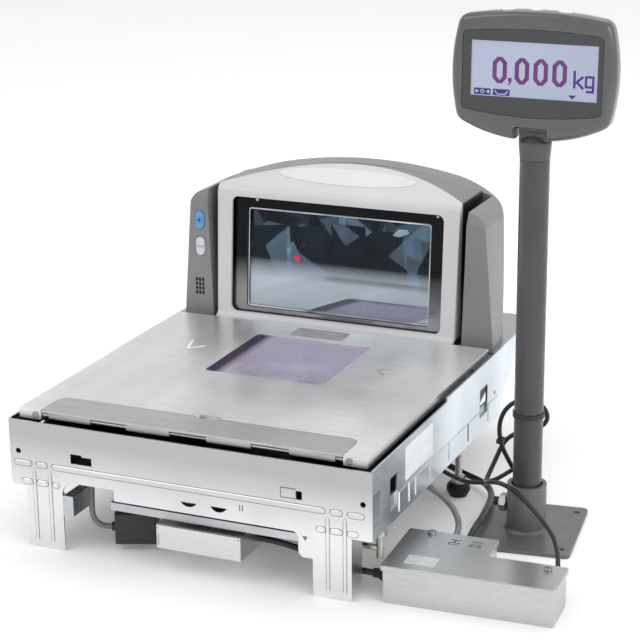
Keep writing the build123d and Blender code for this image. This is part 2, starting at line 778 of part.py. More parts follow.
def platter():
    """Weighing plate with its skirts, the rail's recess, thumb scoop and glass seat."""
    half = PLATTER_W / 2
    sheet = window((-half - 1.2, half + 1.2), (0.0, PLATTER_D))
    sheet = round_at(sheet, 1.0, (-half - 1.2, 0), (half + 1.2, 0))
    cut = window((-RAIL_W / 2 - RAIL_GAP, RAIL_W / 2 + RAIL_GAP), (-5.0, RAIL_D + RAIL_GAP))
    cut = round_at(cut, 10, (-RAIL_W / 2, RAIL_D), (RAIL_W / 2, RAIL_D))
    glass = glass_outline(0)
    plate = upward(sheet - cut - thumb_scoop() - glass, DECK_Z - PLATE_T, DECK_Z)
    ledge_z = DECK_Z - PLATE_T - RAIL_GAP
    ledge = block((-RAIL_W / 2, RAIL_W / 2), (9.0, RAIL_D + 8), (ledge_z - 1.5, ledge_z))
    plate += ledge + block((-RAIL_W / 2, RAIL_W / 2), (RAIL_D + 4.6, RAIL_D + 8), (ledge_z, DECK_Z - PLATE_T))
    rim = glass_outline(4.0)
    seat = rim - glass_outline(-4.0)
    plate += upward(seat, DECK_Z - 6.0, DECK_Z - 4.5) + upward(rim - glass, DECK_Z - 4.5, DECK_Z - PLATE_T)
    for side in (-1, 1):
        plate += corner_block(side)
        skirt = window((11.0, PLATTER_D - 1.0), (DECK_Z - SKIRT, DECK_Z - PLATE_T))
        skirt -= window((203.0, 214.0), (104.0, 108.4)) + window((222.0, 233.0), (104.0, 108.4))
        x = sorted((side * (half + 1.2), side * (half - 0.3)))
        plate += along(skirt, *x)
    web = window((-half, half), (DECK_Z - 6.5, DECK_Z - PLATE_T))
    plate += across(web, PLATTER_D - 1.5, PLATTER_D)
    return plate


def platter_glass():
    """Hard glass let into the platter, a little below its surface."""
    return upward(glass_outline(-0.2), DECK_Z - 4.5, DECK_Z - 1.2)


def corner_screws():
    """Two socket screws in the platter's front corners."""
    screws = []
    for x in (-132.6, 132.6):
        head = across(Pos(x, DECK_Z - 4.3) * Circle(2.6), -1.0, 0.0)
        socket = across(Pos(x, DECK_Z - 4.3) * RegularPolygon(1.3, 6), -2.0, -0.4)
        screws.append(head - socket)
    return screws


def rail_rod():
    """Hinge rod between the platter's front corners."""
    half = RAIL_W / 2 + RAIL_GAP
    z = DECK_Z - HINGE_DROP
    return extrude(facing_right(-half) * Pos(HINGE_Y, z) * Circle(HINGE_ROD_R), 2 * half)


def knuckle_starts():
    first = -1.5 * KNUCKLE_PITCH - KNUCKLE_L / 2
    return [first + KNUCKLE_PITCH * index for index in range(4)]


def produce_rail():
    """Flap that lies flush in the platter and turns up on its knuckles to keep produce on."""
    flap = window((-RAIL_W / 2, RAIL_W / 2), (0.3, RAIL_D))
    flap = round_at(flap, 9.6, (-RAIL_W / 2, RAIL_D), (RAIL_W / 2, RAIL_D))
    rail = upward(flap - thumb_scoop(), DECK_Z - PLATE_T, DECK_Z)
    z = DECK_Z - HINGE_DROP
    radius = 2.7
    for x in knuckle_starts():
        front = HINGE_Y - radius
        back = HINGE_Y + radius
        curl = window((front, back), (z - radius, DECK_Z - PLATE_T))
        curl = round_at(curl, 1.7, (front, z - radius), (back, z - radius))
        curl -= Pos(HINGE_Y, z) * Circle(HINGE_ROD_R + RUNNING)
        rail += along(curl, x, x + KNUCKLE_L)
    return rail


# Parts hung under the front


def interface_box():
    """Folded metal box hung under the tub on two straps."""
    x = CASE_X
    z = CASE_Z
    front = CASE_Y[0]
    case = block(CASE_X, CASE_Y, CASE_Z)
    case = fillet(case.edges().filter_by(Axis.Z), 1.0)
    slot = across(window((-21.4, -20.4), (22.0, 31.0)), front - 1, front + 1)
    corners = Pos(x[0] + 1.6, z[1] - 1.6) * Circle(0.8) + Pos(x[1] - 1.6, z[1] - 1.6) * Circle(0.8)
    case -= slot + across(corners, front - 1, front + 1)
    for strap_x in (-16.0, 30.0):
        case += block((strap_x, strap_x + 10.0), (24.0, 26.0), (z[1], LEDGE_Z))
    return case


def coupler_place():
    return Pos(COUPLER[0], COUPLER[1], 0) * Rot(0, 0, COUPLER_TURN)


def coupler():
    """Black moulded coupler, turned towards the front, with a boot for its cord."""
    half_w = COUPLER_SIZE[0] / 2
    half_d = COUPLER_SIZE[1] / 2
    body = block((-half_w, half_w), (-half_d, half_d), COUPLER_Z)
    body = fillet(body.edges().filter_by(Axis.Z), 1.5)
    for x in ((-half_w + 1, -half_w + 7), (half_w - 6, half_w - 1)):
        body -= block(x, (-half_d - 1, -half_d + 0.4), (14.5, 15.5))
    boot = extrude(facing_right(-half_w - BOOT_L) * Pos(0, BOOT_Z) * Circle(SUPPLY_R + 1.4), BOOT_L)
    hanger = block((-5.0, 5.0), (1.0, 4.0), (COUPLER_Z[1], LEDGE_Z))
    return coupler_place() * (body + boot + hanger)


def boot_point(run):
    """Point on the boot's axis, that far out from its open end."""
    return tuple((coupler_place() * Pos(-COUPLER_SIZE[0] / 2 - BOOT_L - run, 0, BOOT_Z)).position)


# Junction box


def box_place():
    return Pos(BOX_CORNER[0], BOX_CORNER[1], 0) * Rot(0, 0, BOX_TURN)


def box_plan(inset):
    """L-shaped plan of the box, deeper on the left."""
    plan = shape(
        (inset, inset),
        (BOX_W - inset, inset),
        (BOX_W - inset, BOX_WING_D - inset),
        (BOX_WING_X - inset, BOX_WING_D - inset),
        (BOX_WING_X - inset, BOX_DEEP - inset),
        (inset, BOX_DEEP - inset),
    )
    return plan


def junction_tray():
    wall = 1.2
    fit = 1.4
    top = BOX_H - 1.2
    tray = upward(round_plan(box_plan(fit), 1.5), 0, top) - upward(box_plan(fit + wall), wall, top + 1)
    for x, depth, cable in box_ports():
        tray -= across(Pos(x, PORT_Z) * Circle(cable + 1.2), depth - 4, depth + 1)
    return box_place() * (tray - along(Pos(20.0, PORT_Z) * Circle(5.5), 0, 6))


def round_plan(plan, radius):
    return fillet(plan.vertices(), radius)


def junction_lid():
    """Folded lid whose lip laps the tray."""
    sheet = 1.1
    lip = 4.0
    lid = upward(round_plan(box_plan(0), 2.0), BOX_H - lip, BOX_H)
    lid -= upward(round_plan(box_plan(sheet), 1.5), BOX_H - lip - 1, BOX_H - sheet - 0.1)
    return box_place() * fillet(lid.faces().sort_by(Axis.Z)[-1].edges(), 0.8)


def lid_screws():
    """Slotted cheese-head screws in the lid."""
    screws = []
    for x, y in ((19.5, 68.0), (119.0, 32.0)):
        head = chamfer(rod(3.2, x, y, BOX_H, BOX_H + 2.4).edges().sort_by(Axis.Z)[-1], 0.4)
        head -= block((x - 4, x + 4), (y - 0.5, y + 0.5), (BOX_H + 1.3, BOX_H + 3))
        screws.append(box_place() * head)
    return screws


def box_ports():
    """Rear cable ports: place across, the wall's depth, cable radius."""
    rear = BOX_DEEP - 1.4
    return ((28.0, rear, GREY_R), (38.5, rear, DATA_R), (120.5, BOX_WING_D - 1.4, THIN_R))


def box_glands():
    """Rubber grommets in the box's cable ports, and the moulded plug in its left side."""
    glands = []
    for x, depth, cable in box_ports():
        hole = cable + 1.2
        flange = cable + 2.2
        outline = shape((cable, -1.2), (hole, -1.2), (hole, 0), (flange, 0), (hole + 0.3, 4.0), (cable, 4.0))
        grommet = revolve(Plane.XZ * outline, Axis.Z)
        glands.append(box_place() * Pos(x, depth, PORT_Z) * Rot(-90, 0, 0) * grommet)
    outline = shape((0, 0), (5.4, 0), (5.4, 8.0), (3.6, 11.0), (3.6, 15.0), (0, 15.0))
    outline = round_at(outline, 1.0, (5.4, 0), (5.4, 8.0))
    plug = revolve(Plane.XZ * outline, Axis.Z)
    glands.append(box_place() * Pos(LINK_PLUG + 15.0, 20.0, PORT_Z) * Rot(0, -90, 0) * plug)
    return glands


# Pole stand and display


def at_pole(solid):
    return Pos(POLE[0], POLE[1], 0) * solid


def pole_stand():
    """Base plate with four holes and the collar welded to it, split by its cable port."""
    length, depth, thick = STAND_PLATE
    plan = fillet(Rectangle(length, depth).vertices(), 5.0)
    for x in (-32.0, 32.0):
        for y in (-38.0, 38.0):
            plan -= Pos(x, y) * Circle(2.5)
    plate = Pos(2.3, 2.5) * Rot(0, 0, STAND_TURN) * upward(plan, 0, thick)
    tube = upward(Circle(COLLAR_R) - Circle(POLE_R + 1.2), thick, COLLAR_TOP)
    weld = revolve(Plane.XZ * shape((COLLAR_R, thick), (COLLAR_R + 2, thick), (COLLAR_R, thick + 2)), Axis.Z)
    seat = upward(Circle(POLE_R + 1.2) - Circle(7.0), thick, thick + 2)
    stand = plate + tube + weld + seat
    port = extrude(facing_front(0) * Pos(0, 11.0) * Circle(THIN_R + 1.0), -20)
    stand -= port
    bolt_hole = extrude(facing_right(-20) * Pos(0, CLAMP_SCREW_Z) * Circle(CLAMP_SCREW_R), 20)
    return at_pole(stand - bolt_hole)


def clamp_screw():
    """Screw through the collar that grips the pole, with its lock nut."""
    axis = Pos(POLE[1], CLAMP_SCREW_Z)
    end = POLE[0] - POLE_R
    screw = along(axis * Circle(CLAMP_SCREW_R - RUNNING), end - 15.5, end)
    x = POLE[0] - COLLAR_R - 6.2
    nut = axis * (RegularPolygon(6.5, 6, major_radius=False) - Circle(CLAMP_SCREW_R))
    return [screw, along(nut, x, x + 6.0)]


def pole_tube():
    """Round pole standing in the collar, with the cable's hole low at the back."""
    low = STAND_PLATE[2] + 2
    pole = upward(Circle(POLE_R) - Circle(POLE_R - 1.8), low, POLE_TOP)
    hole = extrude(facing_front(0) * Pos(0, 52.0) * Circle(POLE_LEAD_R + 0.9), -20)
    port = extrude(facing_front(0) * Pos(0, 11.0) * Circle(THIN_R + 1.0), -20)
    return at_pole(pole - hole - port)


def neck():
    """Moulded plug on the pole that carries the tilt barrel."""
    profile = shape(
        (0, POLE_TOP - 20),
        (POLE_R - 1.85, POLE_TOP - 20),
        (POLE_R - 1.85, POLE_TOP + 0.3),
        (POLE_R, POLE_TOP + 0.3),
        (12.7, POLE_TOP + 14),
        (9.0, POLE_TOP + 18),
        (0, POLE_TOP + 18),
    )
    profile = round_at(profile, 2.0, (12.7, POLE_TOP + 14))
    plug = revolve(Plane.XZ * profile, Axis.Z)
    cheek = block((-11.0, 11.0), (-6.5, 6.5), (POLE_TOP + 15, PIVOT_Z))
    barrel = extrude(facing_right(-11.0) * Pos(0, PIVOT_Z) * Circle(8.0), 22.0)
    pin_hole = extrude(facing_right(-15.0) * Pos(0, PIVOT_Z) * Circle(3.0 + RUNNING), 30.0)
    return at_pole(plug + cheek + barrel - pin_hole)


def head_outline(grow):
    """Display outline seen from the front: bowed on all sides and fuller below."""
    top = ThreePointArc((-58 - grow, 39 + grow), (0, 44.4 + grow), (58 + grow, 39 + grow))
    right = ThreePointArc((58 + grow, 39 + grow), (64 + grow, -2), (59 + grow, -39 - grow))
    low_right = ThreePointArc((59 + grow, -39 - grow), (38, -48.0 - grow), (15, -52.6 - grow))
    bottom = Line((15, -52.6 - grow), (-15, -52.6 - grow))
    low_left = ThreePointArc((-15, -52.6 - grow), (-38, -48.0 - grow), (-59 - grow, -39 - grow))
    left = ThreePointArc((-59 - grow, -39 - grow), (-64 - grow, -2), (-58 - grow, 39 + grow))
    face = make_face(top + right + low_right + bottom + low_left + left)
    corners = [(-58, 39), (58, 39), (59, -39), (-59, -39)]
    return round_at(face, max(10 + grow, 2.5), *corners)


def at_head(solid):
    """Lean the display back about its pivot, on the pole's axis."""
    leant = Pos(0, 0, PIVOT_Z) * Rot(DISPLAY_TILT, 0, 0) * Pos(0, 0, DISPLAY_Z - PIVOT_Z)
    return at_pole(leant * solid)


def head_y(y):
    return y - POLE[1]


def panel_outline(grow):
    """Dark front panel, with bowed long edges."""
    w = 54.4 + grow
    top = ThreePointArc((-w, 27.4 + grow), (0, 30.4 + grow), (w, 27.4 + grow))
    bottom = ThreePointArc((w, -30.6 - grow), (0, -35.2 - grow), (-w, -30.6 - grow))
    right = Line((w, 27.4 + grow), (w, -30.6 - grow))
    left = Line((-w, -30.6 - grow), (-w, 27.4 + grow))
    face = make_face(top + right + bottom + left)
    return fillet(face.vertices(), 4.0 + grow)


def display_bezel():
    """Front half of the display housing."""
    front = head_y(HEAD_FRONT)
    seam = head_y(HEAD_SEAM)
    shell = across(head_outline(0), front, seam)
    shell = fillet(shell.faces().sort_by(Axis.Y)[0].edges(), HEAD_ROUND)
    shell -= across(panel_outline(0.2), front - 1, front + 2.0)
    shell -= across(window((-49.0, 51.4), (-23.0, 23.0)), front, seam + 1)
    shell -= across(head_outline(-9.0), front + 5.5, seam + 1)
    notch = round_at(window((-13.5, 13.5), (-60.0, -42.4)), 1.5, (-13.5, -42.4), (13.5, -42.4))
    shell -= across(notch, front - 1, seam + 1)
    for x in KEY_X:
        shell -= upward(Pos(x, head_y(KEY_Y)) * Ellipse(5.8, 3.0), 38.0, 50.0)
    return at_head(shell)


def display_mask():
    """Dark panel with the view cut in it."""
    front = head_y(HEAD_FRONT)
    mask = panel_outline(0) - Pos(1.2, 0) * Rectangle(LCD_W, LCD_H)
    return at_head(across(mask, front + 0.5, front + 2.0))


def display_lcd():
    front = head_y(HEAD_FRONT) + 2.0
    return at_head(across(Pos(1.2, 0) * Rectangle(LCD_W + 1.5, LCD_H + 4.0), front, front + 3.0))


def display_back():
    """Rear half of the display housing, drawn in to a smaller flat back, round the tilt pin."""
    seam = head_y(HEAD_SEAM)
    back = head_y(HEAD_BACK)
    outer = loft([facing_front(seam) * head_outline(0), facing_front(back) * head_outline(-9.0)])
    inner_front = facing_front(seam - 0.01) * head_outline(-HEAD_WALL)
    inner = loft([inner_front, facing_front(back - HEAD_WALL) * head_outline(-9.0 - HEAD_WALL + 0.2)])
    shell = outer - inner
    notch = window((-13.5, 13.5), (-60.0, -34.0))
    shell -= across(notch, seam - 1, back + 1)
    for side in (-1, 1):
        x = sorted((side * 13.5, side * 16.0))
        cheek = block(x, (seam, back - 6.0), (-50.0, -34.0)) & outer
        shell += cheek
    roof = block((-16.0, 16.0), (seam, back - 1.5), (-34.0, -32.0)) & outer
    shell += roof
    pin = extrude(facing_right(-13.5) * Pos(0, PIVOT_Z - DISPLAY_Z) * Circle(3.0), 27.0)
    return at_head(shell + pin)


def display_key(x):
    """Oval key in the housing's top edge."""
    crown = 44.4 - 5.4 * (x / 58.0) ** 2
    stem = upward(Pos(x, head_y(KEY_Y)) * Ellipse(5.4, 2.6), 40.2, crown + 0.9)
    return at_head(fillet(stem.faces().sort_by(Axis.Z)[-1].edges(), 0.5))


# Cord routes


def box_point(x, y):
    """Point given along and across the junction box, at the height of its ports."""
    return tuple((box_place() * Pos(x, y, PORT_Z)).position)


def port_end(index):
    """Last two points of a cord that enters one of the box's rear ports."""
    x, depth, _ = box_ports()[index]
    return [box_point(x, depth + 17.0), box_point(x, depth + 4.0)]


def routes():
    """Every cord's radius and route, from the scanner or the pole to its far end."""
    scale = [
        (112.0, 131.0, 46.0),
        (125.0, 131.0, 46.0),
        (138.0, 131.0, 44.0),
        (150.5, 130.5, 40.0),
        (162.0, 128.0, 34.0),
        (171.5, 123.0, 28.0),
        (178.0, 114.5, 22.0),
        (180.5, 104.0, 17.0),
    ]
    data = [
        (98.0, 250.0, LEDGE_Z),
        (98.0, 250.0, 39.0),
        (103.5, 249.5, 25.5),
        (115.0, 248.5, 15.5),
        (130.0, 247.0, 9.5),
        (143.5, 243.0, 7.5),
        (156.0, 236.0, 7.5),
        (165.5, 225.0, 8.0),
        (172.5, 212.0, 8.5),
        (176.5, 197.5, 9.0),
        (179.0, 183.0, 9.5),
        (181.0, 168.0, 9.5),
        (183.0, 153.0, 10.0),
        (184.0, 138.0, 10.5),
        (186.0, 123.5, 11.5),
        (188.5, 109.0, 12.5),
    ]
    display = [
        (POLE[0], POLE[1] + COLLAR_R, 11.0),
        (216.0, 192.0, 11.5),
        (213.0, 198.5, 15.0),
        (206.0, 200.5, 22.0),
        (200.0, 199.5, 30.0),
        (195.5, 197.5, 39.0),
        (191.5, 195.0, 48.0),
        (188.0, 192.0, 57.5),
        (185.5, 190.5, 67.5),
        (185.0, 190.0, 78.0),
        (187.5, 190.0, 88.5),
        (194.0, 190.5, 97.5),
        (203.5, 192.0, 102.5),
        (213.5, 194.0, 102.0),
        (221.5, 195.5, 96.0),
        (224.0, 197.0, 86.5),
        (218.0, 198.0, 78.5),
        (208.5, 198.5, 74.0),
        (198.5, 198.5, 71.0),
        (190.0, 198.0, 65.5),
        (185.0, 196.0, 57.5),
        (182.0, 192.5, 48.0),
        (180.0, 185.5, 40.5),
        (180.0, 175.5, 36.5),
        (182.0, 165.5, 37.0),
        (186.0, 156.0, 40.5),
        (192.5, 149.5, 45.5),
        (201.5, 145.0, 47.5),
        (211.5, 142.0, 45.5),
        (221.0, 139.0, 41.0),
        (230.0, 134.0, 36.5),
        (238.0, 127.5, 33.0),
        (245.5, 120.0, 30.5),
        (252.5, 111.0, 29.0),
        (258.5, 102.0, 28.0),
        (263.5, 92.0, 26.5),
        (268.0, 82.0, 24.0),
        (271.0, 72.5, 19.5),
        box_point(120.5, BOX_WING_D + 14.6),
        box_point(120.5, BOX_WING_D + 2.6),
    ]
    pole = [
        (POLE[0], POLE[1] + POLE_R, 52.0),
        (216.0, 186.5, 52.0),
        (212.5, 192.5, 50.0),
        (205.0, 194.5, 46.5),
        (197.5, 192.5, 41.5),
        (190.0, 189.5, 36.0),
        (183.0, 186.5, 31.5),
        (175.0, 184.5, 29.0),
        (167.0, 183.5, 28.0),
        (158.5, 183.0, 28.0),
        (150.5, 182.5, 30.5),
        (142.5, 182.0, 33.5),
        (135.5, 181.0, 38.0),
        (128.0, 180.5, 42.5),
        (120.5, 180.0, 46.0),
        (112.0, 180.0, 46.0),
    ]
    supply = [
        (-92.5, 12.5, LEDGE_Z),
        (-92.5, 12.5, 46.5),
        (-93.0, 12.5, 36.0),
        (-93.0, 12.5, 25.0),
        (-89.5, 13.5, 19.0),
        boot_point(6.5),
        boot_point(0.0),
    ]
    link = [
        (CASE_X[1], 20.5, 26.0),
        (62.0, 20.5, 26.0),
        (75.5, 21.5, 23.5),
        (89.0, 22.5, 20.5),
        (103.0, 23.0, 17.5),
        (117.0, 21.5, 15.0),
        box_point(LINK_PLUG - 14.0, 20.0),
        box_point(LINK_PLUG, 20.0),
    ]
    return {
        "scale_cable": (GREY_R, scale + port_end(0)),
        "data_cable": (DATA_R, data + port_end(1)),
        "display_cable": (THIN_R, display),
        "pole_cable": (POLE_LEAD_R, pole),
        "supply_cable": (SUPPLY_R, supply),
        "link_cable": (LINK_R, link),
    }


def cable_ties():
    """Tie round the display cord's two strands, and the pole's band with its eye."""
    loop = SlotOverall(11.5, 6.4, rotation=90) - SlotOverall(9.3, 4.2, rotation=90)
    tie = Pos(185.3, 194.3, 62.5) * upward(loop, 0, 2.4)
    band = upward(Circle(POLE_R + 1.2) - Circle(POLE_R), 98.0, 102.0)
    band += block((-8.2, -5.4), (9.0, 19.8), (98.5, 101.5)) - upward(Circle(POLE_R), 90, 110)
    eye = extrude(facing_right(-9.5) * Pos(24.1, 102.2) * (Circle(4.6) - Circle(3.0)), 4.0)
    return [tie, at_pole(band + eye)]


def cord_radii(points):
    """Bend radius at each corner: 0.45 of the shorter run over the tangent of half the turn."""
    radii = []
    for before, corner, after in zip(points, points[1:], points[2:]):
        run_in = Vector(*corner) - Vector(*before)
        run_out = Vector(*after) - Vector(*corner)
        turn = math.radians(run_in.get_angle(run_out))
        shorter = min(run_in.length, run_out.length)
        radii.append(0.45 * shorter / math.tan(turn / 2))
    return radii


def cord(name, radius, points):
    """Round tube along straight runs joined by tangent arcs."""
    radii = cord_radii(points)
    path = FilletPolyline(*points, radius=radii)
    start = Plane(origin=points[0], z_dir=path % 0)
    tube = sweep(start * Circle(radius), path=path)
    expected = math.pi * radius**2 * path.length
    tight = min(radii) / (2 * radius)
    print(name, "length", round(path.length, 1), "volume ratio", round(tube.volume / expected, 4))
    print(name, "radii", [round(value) for value in radii], "tightest", round(tight, 1), "diameters")
    return tube


# Assembly


def pair(solid):
    return [solid, mirrored(solid)]


def footprint(made):
    """Middle of the whole object seen from above, its cords left aside."""
    boxes = [one.bounding_box() for name, one in made if "cable" not in name]
    x = (min(box.min.X for box in boxes) + max(box.max.X for box in boxes)) / 2
    y = (min(box.min.Y for box in boxes) + max(box.max.Y for box in boxes)) / 2
    print("low", round(min(box.min.Z for box in boxes), 3), "high", round(max(box.max.Z for box in boxes), 3))
    return x, y


def save(name, solids, x, y):
    """Write one node, moved so that the origin is the middle of the footprint."""
    parts = [one for solid in solids for one in (Pos(-x, -y, 0) * solid).solids()]
    node = parts[0] if len(parts) == 1 else Compound(children=parts)
    node.label = name
    export_step(node, "parts/" + name + ".step")


def nodes():
    right = side_panel()
    stud = foot_stud()
    pad = foot_pad()
    nut = adjust_nut()
    made = {
        "front_panel": front_panel(),
        "side_panels": [right, mirrored(right)],
        "side_ledges": pair(side_ledge()),
        "rear_strap": rear_strap(),
        "front_brackets": [lower_channel(), leg_bracket()],
        "jack_screws": pair(jack_screw()),
        "foot_stud_right": stud,
        "foot_pad_right": pad,
        "adjust_nut_right": nut,
        "foot_stud_left": mirrored(stud),
        "foot_pad_left": mirrored(pad),
        "adjust_nut_left": mirrored(nut),
        "scanner_tub": scanner_tub(),
        "cord_clamps": cord_clamps(),
        "load_cell": load_cell(),
        "scale_spider": scale_spider(),
        "platter_pads": platter_pads(),
        "optics_deck": optics_deck(),
        "scan_windows": [deck_window(), tower_window()],
        "spinner": spinner(),
        "scan_engine": [spinner_motor(), laser_module()],
        "circuit_boards": circuit_boards(),
        "tower_housing": tower_housing(),
        "window_rim": window_rim(),
        "pattern_mirrors": pattern_mirrors(),
        "tower_shell": tower_shell(),
        "rear_cover": rear_cover(),
        "blue_button": button(BLUE_Z),
        "white_button": button(WHITE_Z),
        "platter": platter(),
        "platter_glass": platter_glass(),
        "corner_screws": corner_screws(),
        "rail_rod": rail_rod(),
        "tower_bezel": tower_bezel(),
        "bezel_inlay": bezel_inlay(),
        "produce_rail": produce_rail(),
        "interface_box": interface_box(),
        "coupler": coupler(),
        "junction_tray": junction_tray(),
        "junction_lid": junction_lid(),
        "lid_screws": lid_screws(),
        "box_glands": box_glands(),
        "pole_stand": pole_stand(),
        "clamp_screw": clamp_screw(),
        "pole_tube": pole_tube(),
        "neck": neck(),
        "display_bezel": display_bezel(),
        "cable_ties": cable_ties(),
        "display_mask": display_mask(),
        "display_lcd": display_lcd(),
        "display_back": display_back(),
    }
    for name, x in zip(("left", "middle", "right"), KEY_X):
        made["display_key_" + name] = display_key(x)
    for name, (radius, points) in routes().items():
        made[name] = cord(name, radius, points)
    return made


os.makedirs("parts", exist_ok=True)
finished = {name: solids if isinstance(solids, list) else [solids] for name, solids in nodes().items()}
origin_x, origin_y = footprint([(name, one) for name, solids in finished.items() for one in solids])
print("origin moved by", round(origin_x, 3), round(origin_y, 3))
for node_name, node_solids in finished.items():
    save(node_name, node_solids, origin_x, origin_y)
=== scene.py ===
import math

import bpy
from mathutils import Matrix, Vector


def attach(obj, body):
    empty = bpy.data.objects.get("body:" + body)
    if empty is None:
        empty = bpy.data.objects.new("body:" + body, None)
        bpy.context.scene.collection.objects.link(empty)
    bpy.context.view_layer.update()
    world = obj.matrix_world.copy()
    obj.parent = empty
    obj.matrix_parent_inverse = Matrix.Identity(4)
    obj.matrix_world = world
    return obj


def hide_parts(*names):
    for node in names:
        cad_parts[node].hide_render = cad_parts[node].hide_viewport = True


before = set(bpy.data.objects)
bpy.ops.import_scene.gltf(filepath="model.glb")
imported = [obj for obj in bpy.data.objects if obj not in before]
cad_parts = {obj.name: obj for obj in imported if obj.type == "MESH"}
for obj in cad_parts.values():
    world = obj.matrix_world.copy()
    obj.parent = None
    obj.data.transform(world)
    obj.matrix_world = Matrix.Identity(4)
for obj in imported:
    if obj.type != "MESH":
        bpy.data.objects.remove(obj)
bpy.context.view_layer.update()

# Lengths are millimetres from the scanner's own corner: X to the right of its middle, Y to the back
# from the platter's front edge, Z up from the floor. SHIFT moves them to the shared frame.
SHIFT = (66.958, 188.5)
DECK_Z = 113.0
FRONT_Y = -6.5
SIDE_X = 153.5
LEDGE_Z = 53.5
STUD = (141.0, 218.0)
JACK = (145.5, 28.0)
CLAMP = (189.3, 168.0, 22.0)
# Side windows: from and to in depth, from and to in height
SIDE_WINDOWS = ((28.8, 43.3, 61.0, 87.0), (235.0, 253.0, 65.0, 88.4))

# Tower: its leaning window face with the black frame proud of it, the hood's half width and its crest,
# the left column's buttons and speaker, and what shows in the window: a lens with a painted red glow and a
# facet with a painted highlight
LEAN = 8.9 / 110.0
FACE_Y = 281.9
FRAME_PROUD = 5.8
FRAME_SCREW_X = (-78.0, 92.6)
FRAME_SCREW_Z = 218.4
HOOD_HALF = 114.0
CREST_Y = 345.2
CREST_SWEEP = 47.2
BLUE_KEY = (-130.2, 283.8, 197.8)
WHITE_KEY = (-130.2, 283.8, 173.4)
SPEAKER = (-131.8, 285.0, 136.0)
COLLECTOR = (-43.5, 303.0, 165.7)
FACET = (55.8, 303.0, 198.5)

# Display on its pole: tilt pin, middle of the screen over it, the screen's depth before the pole's
# axis and the thickness of what it shows
POLE = (216.3, 168.0)
PIVOT_Z = 331.0
HEAD_Z = 374.0
HEAD_TILT = -2.3
SCREEN_DEPTH = -13.5
MARK_THICK = 0.15

# Junction box by the pole's foot, and the coupler's boot under the front panel
BOX_CORNER = (156.0, 0.5)
BOX_TURN = 3.0
BOX_TOP = 30.0
PORT_Z = 14.0
BOOT = (-60.0, 25.5, 16.0)
BOOT_TURN = 22.0
BOOT_REACH = -20.0

# Where a finish changes, from and to along an axis of the shared frame, in metres; painted shade and
# painted reflections among them
FRONT_DARKER_TOP_Z = (0.05, 0.092)
HOOD_FADE = (0.0, 0.0006)
SIDE_GAP_SHADE_Y = (0.108, 0.109)
FRAME_PAINTED_REFLECTION_Z = (0.128, 0.166)
PANE_PAINTED_REFLECTION_Z = (0.148, 0.166)
DECK_PAINTED_SHADOW_X = (-0.113, -0.104)
# Share of the hood's half width, squared, where the painted shade of its side gaps begins
SIDE_GAP_SHADE_SHARE = (0.985, 0.99)


def at(x, y, z):
    """Point of the shared frame, in metres."""
    return Vector(((x - SHIFT[0]) / 1000, (y - SHIFT[1]) / 1000, z / 1000))


# Camera


def aim_camera():
    turn, dip, roll = math.radians(23.56), math.radians(17.37), math.radians(0.58)
    ahead = Vector((-math.sin(turn) * math.cos(dip), math.cos(turn) * math.cos(dip), -math.sin(dip)))
    right = Vector((math.cos(turn), math.sin(turn), 0))
    down = ahead.cross(right)
    level = math.cos(roll) * right + math.sin(roll) * down
    upright = math.sin(roll) * right - math.cos(roll) * down
    matrix = Matrix((level, upright, -ahead)).transposed().to_4x4()
    matrix.translation = (0.566042, -1.3865, 0.623)
    data = bpy.data.cameras.new("view")
    data.lens = 107.6
    data.sensor_width = 36.0
    data.clip_start = 0.05
    data.clip_end = 50
    camera = bpy.data.objects.new("view", data)
    camera.matrix_world = matrix
    bpy.context.scene.collection.objects.link(camera)
    bpy.context.scene.camera = camera


aim_camera()

# Cords: the same routes as the CAD's, as smooth splines


def box_point(x, y):
    """Point given along and across the junction box, at the height of its ports."""
    turn = math.radians(BOX_TURN)
    along = x * math.cos(turn) - y * math.sin(turn)
    across = x * math.sin(turn) + y * math.cos(turn)
    return (BOX_CORNER[0] + along, BOX_CORNER[1] + across, PORT_Z)


def boot_point(run):
    """Point on the axis of the coupler's boot, that far out from its open end."""
    turn = math.radians(BOOT_TURN)
    reach = BOOT_REACH - run
    return (BOOT[0] + reach * math.cos(turn), BOOT[1] + reach * math.sin(turn), BOOT[2])


